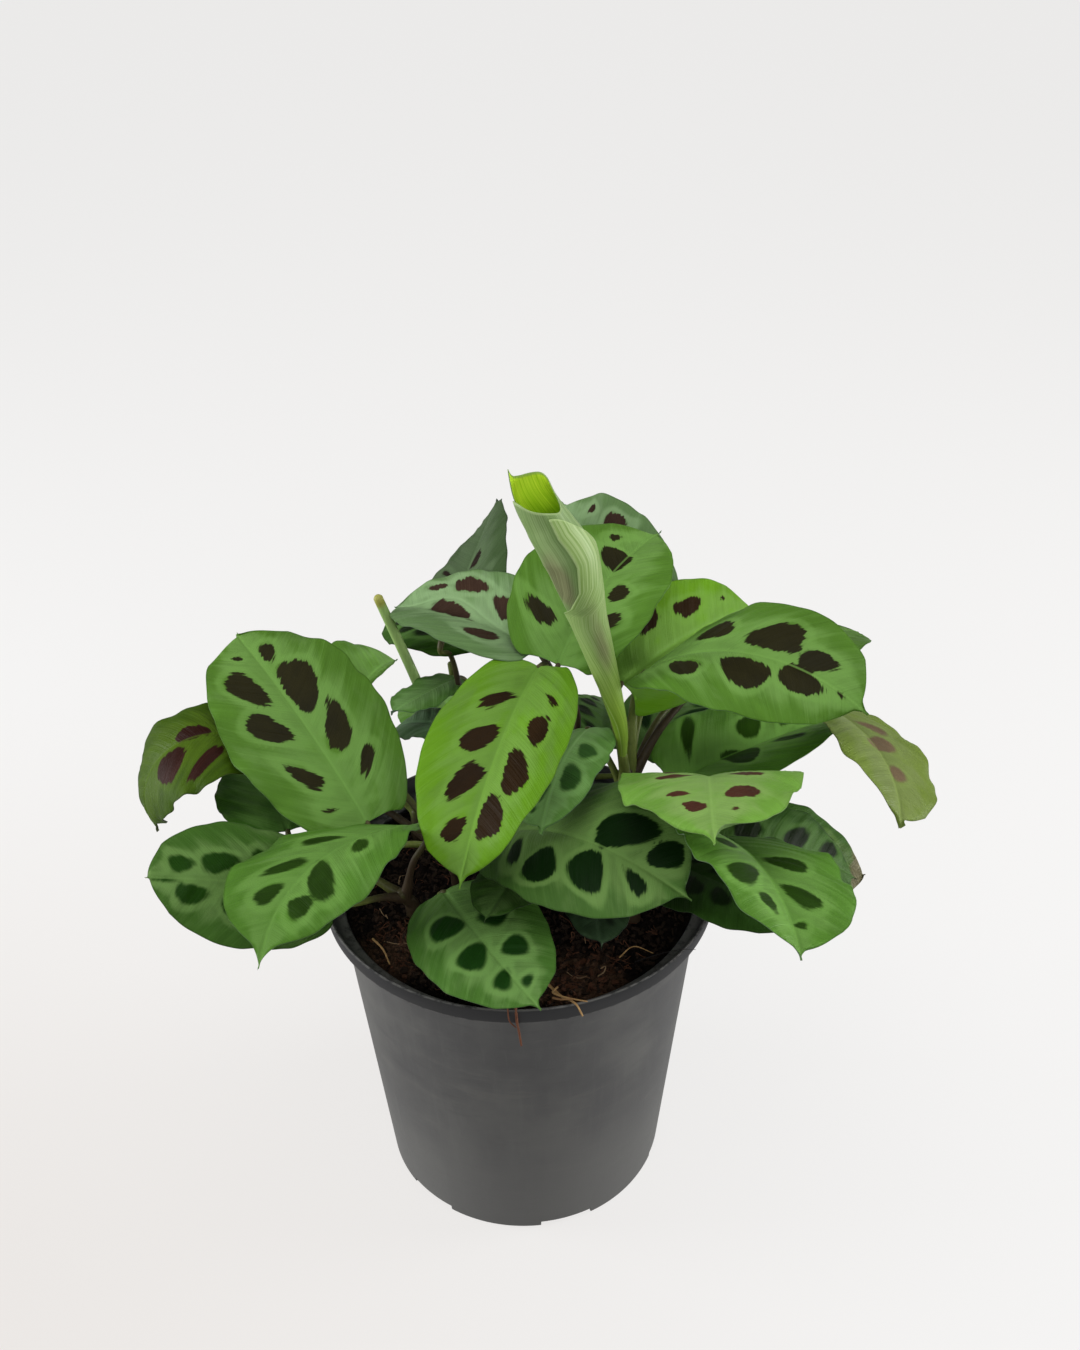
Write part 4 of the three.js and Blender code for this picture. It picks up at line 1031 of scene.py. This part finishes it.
def build_pot():
    turn = np.arange(POT_SIDES) / POT_SIDES * 2 * math.pi
    rings = [(r, z) for r, z in POT_PROFILE if r > 0]
    points = np.array([(r * math.cos(a), r * math.sin(a), z) for r, z in rings for a in turn])
    faces = grid_faces(len(rings), POT_SIDES, closed=True)
    points = np.concatenate([points, [(0, 0, 0), (0, 0, POT_PROFILE[-1][1])]])
    close_ends(faces, POT_SIDES, (len(rings) - 1) * POT_SIDES, len(points) - 2, len(points) - 1)
    pot = make_object("pot_shell", points, faces, [pot_material()])
    whole = bmesh.new()
    for k in range(NOTCHES):
        notch = bmesh.new()
        bmesh.ops.create_cube(notch, size=1.0)
        bmesh.ops.scale(notch, vec=[side * MM for side in NOTCH_SIZE], verts=notch.verts)
        bmesh.ops.translate(notch, vec=((BASE_RADIUS - 1) * MM, 0, 0.6 * MM), verts=notch.verts)
        add_cutter(whole, notch, NOTCH_START + 360 / NOTCHES * k)
    for k in range(DRAINS):
        hole = bmesh.new()
        wide = DRAIN_RADIUS * MM
        bmesh.ops.create_cone(hole, cap_ends=True, segments=32, radius1=wide, radius2=wide, depth=12 * MM)
        bmesh.ops.translate(hole, vec=(DRAIN_RING * MM, 0, 4 * MM), verts=hole.verts)
        add_cutter(whole, hole, DRAIN_START + 360 / DRAINS * k)
    joined = bpy.data.meshes.new("pot_cutters")
    whole.to_mesh(joined)
    whole.free()
    cutter = bpy.data.objects.new("pot_cutters", joined)
    bpy.context.scene.collection.objects.link(cutter)
    modifier = pot.modifiers.new("cuts", "BOOLEAN")
    modifier.object = cutter
    modifier.operation = "DIFFERENCE"
    modifier.solver = "EXACT"
    bpy.context.view_layer.update()
    cut = bpy.data.meshes.new_from_object(pot.evaluated_get(bpy.context.evaluated_depsgraph_get()))
    pot.modifiers.clear()
    pot.data = cut
    bpy.data.objects.remove(cutter)
    places = np.empty(len(cut.vertices) * 3, dtype=np.float32)
    cut.vertices.foreach_get("co", places)
    x, y, height = places.reshape(-1, 3).T / MM
    wall = BASE_RADIUS + (BODY_TOP_RADIUS - BASE_RADIUS) * height / COLLAR_BOTTOM
    inside = (np.hypot(x, y) < wall - 1) & (height > 4)
    # The collar and the inside are marked dark; on the inside the near-black is painted shade.
    dark = inside | (height > COLLAR_BOTTOM - 0.8)
    add_values(cut, {"height": height, "dark": dark})
    cut.polygons.foreach_set("use_smooth", np.full(len(cut.polygons), True))
    cut.set_sharp_from_angle(angle=math.radians(32))
    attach(pot, "root")
    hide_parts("pot")


# Soil: a lumpy crust, with coir chips, straw, roots and specks lying on it. Below the crust it has two rings,
# given by radius and height.
SOIL_BELOW = [(SOIL_RADIUS, 143), (60, 5.3)]
# Patches where the mix is drier and lit, with its chips and fibres brown, and outside them painted shade:
# centre and radius
DRY_LIT_PATCHES = [(-52, -40, 16), (26, -60, 18), (8, -66, 14), (30, 30, 18)]
CHIPS = 3600
FIBRES = 900


def soil_height(x, y):
    distance = np.hypot(x, y) / BODY_TOP_RADIUS
    mound = 2.2 * (1 - distance**2)
    lumps = 0.7 * np.sin(x / 7 + 1) * np.cos(y / 9) + 0.4 * np.sin((x + y) / 4.5)
    return SOIL_LEVEL + mound - 1.2 + lumps * (1 - np.minimum(distance, 1) ** 6)


def grain_height(x, y):
    """Small crumbs on top of the plain soil surface."""
    height = np.zeros(np.shape(x))
    random = np.random.RandomState(7)
    for size, amount in ((6.0, 0.6), (3.0, 0.5), (1.6, 0.35)):
        for _ in range(5):
            angle, phase = random.uniform(0, 2 * math.pi, 2)
            wave = np.sin((x * math.cos(angle) + y * math.sin(angle)) * 2 * math.pi / size + phase)
            height = height + amount * 0.4 * wave
    return height


def soil_material():
    surface = Surface("potting_mix", roughness=0.95, specular=0.08)
    spot = surface.place()
    crumbs = surface.noise(spot, 0.5, 6.0, 0.7)
    patches = surface.noise(spot, 0.08, 3.0)
    # The moist mix is painted darker than the soil's own colour, as painted shade under the leaves; the dry
    # mix in the patches is partly dry soil and partly painted light.
    moist_and_shaded = surface.mix(surface.step(crumbs, 0.3, 0.7), rgb(7, 6, 6), rgb(36, 29, 26))
    dry = surface.mix(surface.step(crumbs, 0.3, 0.7), rgb(36, 27, 20), rgb(108, 82, 64))
    share = surface.math("MULTIPLY_ADD", surface.math("SUBTRACT", patches, 0.5), 1.2, surface.value("dry"))
    colour = surface.mix(surface.step(share, 0.25, 0.9), moist_and_shaded, dry)
    surface.colour(colour)
    surface.bump(crumbs, 1.0, 1.6)
    return surface.material


def chip_material():
    surface = Surface("coir_chips", roughness=0.85, specular=0.1)
    tint = surface.value("tint")
    fibre = surface.noise(surface.place(), 1.1, 4.0, 0.7)
    dark = surface.mix(fibre, rgb(22, 18, 15), rgb(58, 45, 36))
    brown = surface.mix(fibre, rgb(66, 42, 30), rgb(104, 70, 52))
    light = surface.mix(fibre, rgb(128, 102, 76), rgb(176, 152, 120))
    colour = surface.mix(surface.step(tint, 0.4, 0.7), dark, brown)
    surface.colour(surface.mix(surface.step(tint, 0.92, 0.97), colour, light))
    surface.bump(fibre, 0.7, 0.4)
    return surface.material


def build_soil():
    rings, sectors = 120, 300
    radii = SOIL_RADIUS * np.sqrt(np.linspace(0.0004, 1, rings))
    turn = np.arange(sectors) / sectors * 2 * math.pi
    radius, angle = np.meshgrid(radii, turn, indexing="ij")
    x, y = radius * np.cos(angle), radius * np.sin(angle)
    z = soil_height(x, y) + grain_height(x, y)
    top = np.stack([x, y, z], axis=-1).reshape(-1, 3)
    lower = []
    for r, level in SOIL_BELOW:
        lower.append(np.stack([r * np.cos(turn), r * np.sin(turn), np.full(sectors, level)], axis=-1))
    points = np.concatenate([top, *lower, [(0, 0, soil_height(0, 0))], [(0, 0, SOIL_BELOW[-1][1])]])
    faces = grid_faces(rings + 2, sectors, closed=True, flip=True)
    centre, bottom = len(points) - 2, len(points) - 1
    start = (rings + 1) * sectors
    for k in range(sectors):
        following = (k + 1) % sectors
        faces.append((centre, k, following))
        faces.append((bottom, start + following, start + k))
    dry = dryness_and_light(points[:, 0], points[:, 1])
    soil = make_object("potting_soil", points, faces, [soil_material()], values={"dry": dry})
    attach(soil, "root")
    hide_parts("soil")


def dryness_and_light(x, y):
    """1 in the middle of a dry, lit patch, down to 0 well outside all of them."""
    shares = [np.exp(-((x - px) ** 2 + (y - py) ** 2) / radius**2) for px, py, radius in DRY_LIT_PATCHES]
    return np.max(shares, axis=0)


def spot_on_soil(random, margin):
    radius = (SOIL_RADIUS - margin) * math.sqrt(random.uniform())
    angle = random.uniform(0, 2 * math.pi)
    return radius * math.cos(angle), radius * math.sin(angle)


def build_chips():
    random = np.random.RandomState(21)
    parts = Parts("tint")
    block = np.array([(x, y, z) for x in (-1, 1) for y in (-1, 1) for z in (-1, 1)], dtype=float)
    block_faces = [(0, 1, 3, 2), (4, 6, 7, 5), (0, 4, 5, 1), (2, 3, 7, 6), (0, 2, 6, 4), (1, 5, 7, 3)]
    for _ in range(CHIPS):
        x, y = spot_on_soil(random, 2)
        size = np.array([random.uniform(0.4, 1.9), random.uniform(0.2, 0.8), random.uniform(0.2, 0.5)])
        shape = block * size * (1 + 0.35 * random.uniform(-1, 1, (8, 3)))
        turned = Matrix.Rotation(random.uniform(0, 2 * math.pi), 3, "Z")
        tipped = Matrix.Rotation(random.normal(0, 0.5), 3, "X")
        leaning = Matrix.Rotation(random.normal(0, 0.4), 3, "Y")
        shape = shape @ np.array(turned @ tipped @ leaning).T
        z = float(soil_height(x, y) + grain_height(x, y)) + random.uniform(-0.1, 0.5)
        # Chips are browner in the dry, lit patches, partly as painted light.
        tint = random.uniform() * (0.4 + 0.6 * dryness_and_light(x, y))
        parts.add(shape + (x, y, z), block_faces, tint=tint)
    for _ in range(FIBRES):
        start = np.array(spot_on_soil(random, 6))
        bend = random.normal(0, 2.0, (4, 2)).cumsum(axis=0) + start
        lift = random.uniform(0.2, 2.2, 4)
        thick = random.uniform(0.1, 0.26)
        tint = random.uniform(0.4, 1.0)
        dry = dryness_and_light(*start)
        if np.max(np.hypot(bend[:, 0], bend[:, 1])) > SOIL_RADIUS - 2 or random.uniform() > 0.15 + dry:
            continue
        level = soil_height(bend[:, 0], bend[:, 1]) + grain_height(bend[:, 0], bend[:, 1])
        path = spline(np.column_stack([bend, level + lift]), 10)
        points, faces, _ = tube(path, thick, 5)
        parts.add(points, faces, tint=tint)
    chips = parts.build("coir_chips_and_fibres", chip_material(), smooth=False)
    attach(chips, "root")


def build_litter():
    """Roots that hang over the rim, a straw and a thin hair, each laid where it shows."""
    surface = Surface("dry_roots", roughness=0.7, specular=0.25)
    fibre = surface.noise(surface.place(), 0.8, 3.0)
    tint = surface.value("tint")
    red = surface.mix(fibre, rgb(86, 48, 34), rgb(126, 82, 58))
    tan = surface.mix(fibre, rgb(142, 108, 66), rgb(184, 150, 100))
    colour = surface.mix(surface.step(tint, 0.3, 0.5), rgb(28, 26, 26), red)
    surface.colour(surface.mix(surface.step(tint, 0.7, 0.8), colour, tan))
    parts = Parts("tint")
    rim = POT_HEIGHT + 0.5
    threads = [
        ([(-10, -62, 151), (-6, -76, 155), (-3, -83.6, rim), (-2.5, -87.2, 154), (-2, -85, 148),
          (-1, -80.5, 134)], 0.7, 0.6),
        ([(-12, -64, 151), (-8, -77, 155), (-6, -84, rim), (-5.5, -87.2, 155), (-3, -85.4, 149)], 0.4, 0.5),
        ([(10, -64, 151), (16, -74, 153), (19, -80, 157), (21, -84, rim), (23, -87.2, 156)], 0.6, 0.95),
        ([(14, -66, 151), (12, -72, 154), (17, -78, 157), (25, -82, rim)], 0.45, 0.95),
        ([(12, -74, 153), (15, -79, 157), (20, -80, 158)], 0.5, 0.75),
        ([(-62, -34, 150.5), (-57, -42, 151.5), (-54, -50, 151)], 0.5, 0.95),
        ([(46, -54, 152), (56, -56, 158), (64, -55, 159), (71, -51, 155)], 0.16, 0.1),
        ([(-28, -30, 151), (-36, -28, 153), (-44, -32, 151)], 0.3, 0.6),
        ([(40, -50, 151), (46, -46, 153), (54, -48, 151)], 0.3, 0.95),
    ]
    for route, radius, tint_value in threads:
        points, faces, _ = tube(spline(route, 40), np.linspace(radius, radius * 0.6, 41), 8)
        parts.add(points, faces, tint=tint_value)
    litter = parts.build("roots_straw_and_hair", surface.material)
    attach(litter, "root")


# Setting: camera, floor and light
SENSOR_HEIGHT = 36.0
FOCAL_PIXELS = 1500.0
FRAME_HEIGHT = 1350.0
CAMERA_AT = Vector((0.0, -0.505, 0.579))
CAMERA_PITCH = math.radians(32.5)
CAMERA_YAW = math.radians(1.16)
CAMERA_ROLL = math.radians(-0.85)
BACKDROP = rgb(244, 243, 242)
# Colour and centre of a painted soft shadow that darkens the floor round one spot.
PAINTED_SHADOW_COLOUR = rgb(230, 225, 221)
PAINTED_SHADOW_CENTRE = (-0.45, -0.3, 0.0)
# Strength of the room and the floor as light, and of the floor as the camera sees it
AMBIENT = 0.32
FLOOR_GLOW = 0.885
FLOOR_SHADE = (0.1, 0.1, 0.1)
FLOOR_REACH = 9000


def set_camera():
    forward = Vector((
        math.sin(CAMERA_YAW) * math.cos(CAMERA_PITCH),
        math.cos(CAMERA_YAW) * math.cos(CAMERA_PITCH),
        -math.sin(CAMERA_PITCH),
    ))
    right = Vector((math.cos(CAMERA_YAW), -math.sin(CAMERA_YAW), 0.0))
    up = right.cross(forward)
    turned_right = math.cos(CAMERA_ROLL) * right + math.sin(CAMERA_ROLL) * up
    turned_up = math.cos(CAMERA_ROLL) * up - math.sin(CAMERA_ROLL) * right
    data = bpy.data.cameras.new("camera")
    data.sensor_fit = "VERTICAL"
    data.sensor_height = SENSOR_HEIGHT
    data.lens = SENSOR_HEIGHT * FOCAL_PIXELS / FRAME_HEIGHT
    data.clip_start = 0.01
    data.clip_end = 50.0
    camera = bpy.data.objects.new("camera", data)
    rows = Matrix((turned_right, turned_up, -forward)).transposed().to_4x4()
    camera.matrix_world = Matrix.Translation(CAMERA_AT) @ rows
    bpy.context.scene.collection.objects.link(camera)
    bpy.context.scene.camera = camera


def area_light(name, place, size, power, aim=(0, 0, 0.2)):
    data = bpy.data.lights.new(name, "AREA")
    data.shape = "RECTANGLE"
    data.size, data.size_y = size
    data.energy = power
    lamp = bpy.data.objects.new(name, data)
    lamp.location = place
    lamp.rotation_euler = (Vector(aim) - Vector(place)).to_track_quat("-Z", "Y").to_euler()
    bpy.context.scene.collection.objects.link(lamp)


def set_stage():
    world = bpy.data.worlds.new("studio")
    world.use_nodes = True
    nodes = Nodes(world.node_tree)
    background = nodes.tree.nodes["Background"]
    nodes.feed(background.inputs["Color"], BACKDROP)
    nodes.feed(background.inputs["Strength"], nodes.by_viewer(AMBIENT, 1.0))
    bpy.context.scene.world = world
    bpy.context.scene.view_settings.view_transform = "Standard"

    corners = [(x * FLOOR_REACH, y * FLOOR_REACH, -0.2) for x, y in ((-1, -1), (1, -1), (1, 1), (-1, 1))]
    floor = make_object("floor", corners, [(0, 1, 2, 3)], [floor_material()])
    area_light("overhead", (-0.1, -0.15, 1.5), (1.1, 1.1), 9.5)
    area_light("front", (0.0, -1.6, 0.9), (1.6, 1.0), 9)
    area_light("right", (1.2, 0.1, 0.25), (0.5, 1.0), 17, aim=(0, 0, 0.1))
    area_light("left", (-1.2, 0.1, 0.25), (0.5, 1.0), 17, aim=(0, 0, 0.1))


def floor_material():
    """Near-white to the camera with a faint soft shadow and a painted soft shadow round one spot, and dim as
    a light source.
    """
    material = bpy.data.materials.new("pale_floor")
    material.use_nodes = True
    nodes = Nodes(material.node_tree)
    nodes.tree.nodes.clear()
    spot = nodes.node("ShaderNodeTexCoord", output="Object")
    away = nodes.node("ShaderNodeVectorMath", {0: spot, 1: PAINTED_SHADOW_CENTRE}, output="Value", operation="DISTANCE")
    # Painted shadow: the floor turns darker towards one spot left of the pot and in front of it.
    tint = nodes.mix(nodes.step(away, 0.75, 0.1), BACKDROP, PAINTED_SHADOW_COLOUR)
    glow = nodes.node("ShaderNodeEmission", {"Color": tint, "Strength": nodes.by_viewer(AMBIENT, FLOOR_GLOW)})
    shade = nodes.node("ShaderNodeBsdfDiffuse", {"Color": FLOOR_SHADE})
    output = nodes.tree.nodes.new("ShaderNodeOutputMaterial")
    nodes.feed(output.inputs["Surface"], nodes.node("ShaderNodeAddShader", {0: glow, 1: shade}))
    return material


set_camera()
for blade_name, blade in LEAVES.items():
    build_blade(blade_name, blade)
for shoot_name, shoot_values in SHOOTS.items():
    build_shoot(shoot_name, shoot_values)
build_cane()
build_rolled_leaf()
build_pot()
build_soil()
build_chips()
build_litter()
set_stage()
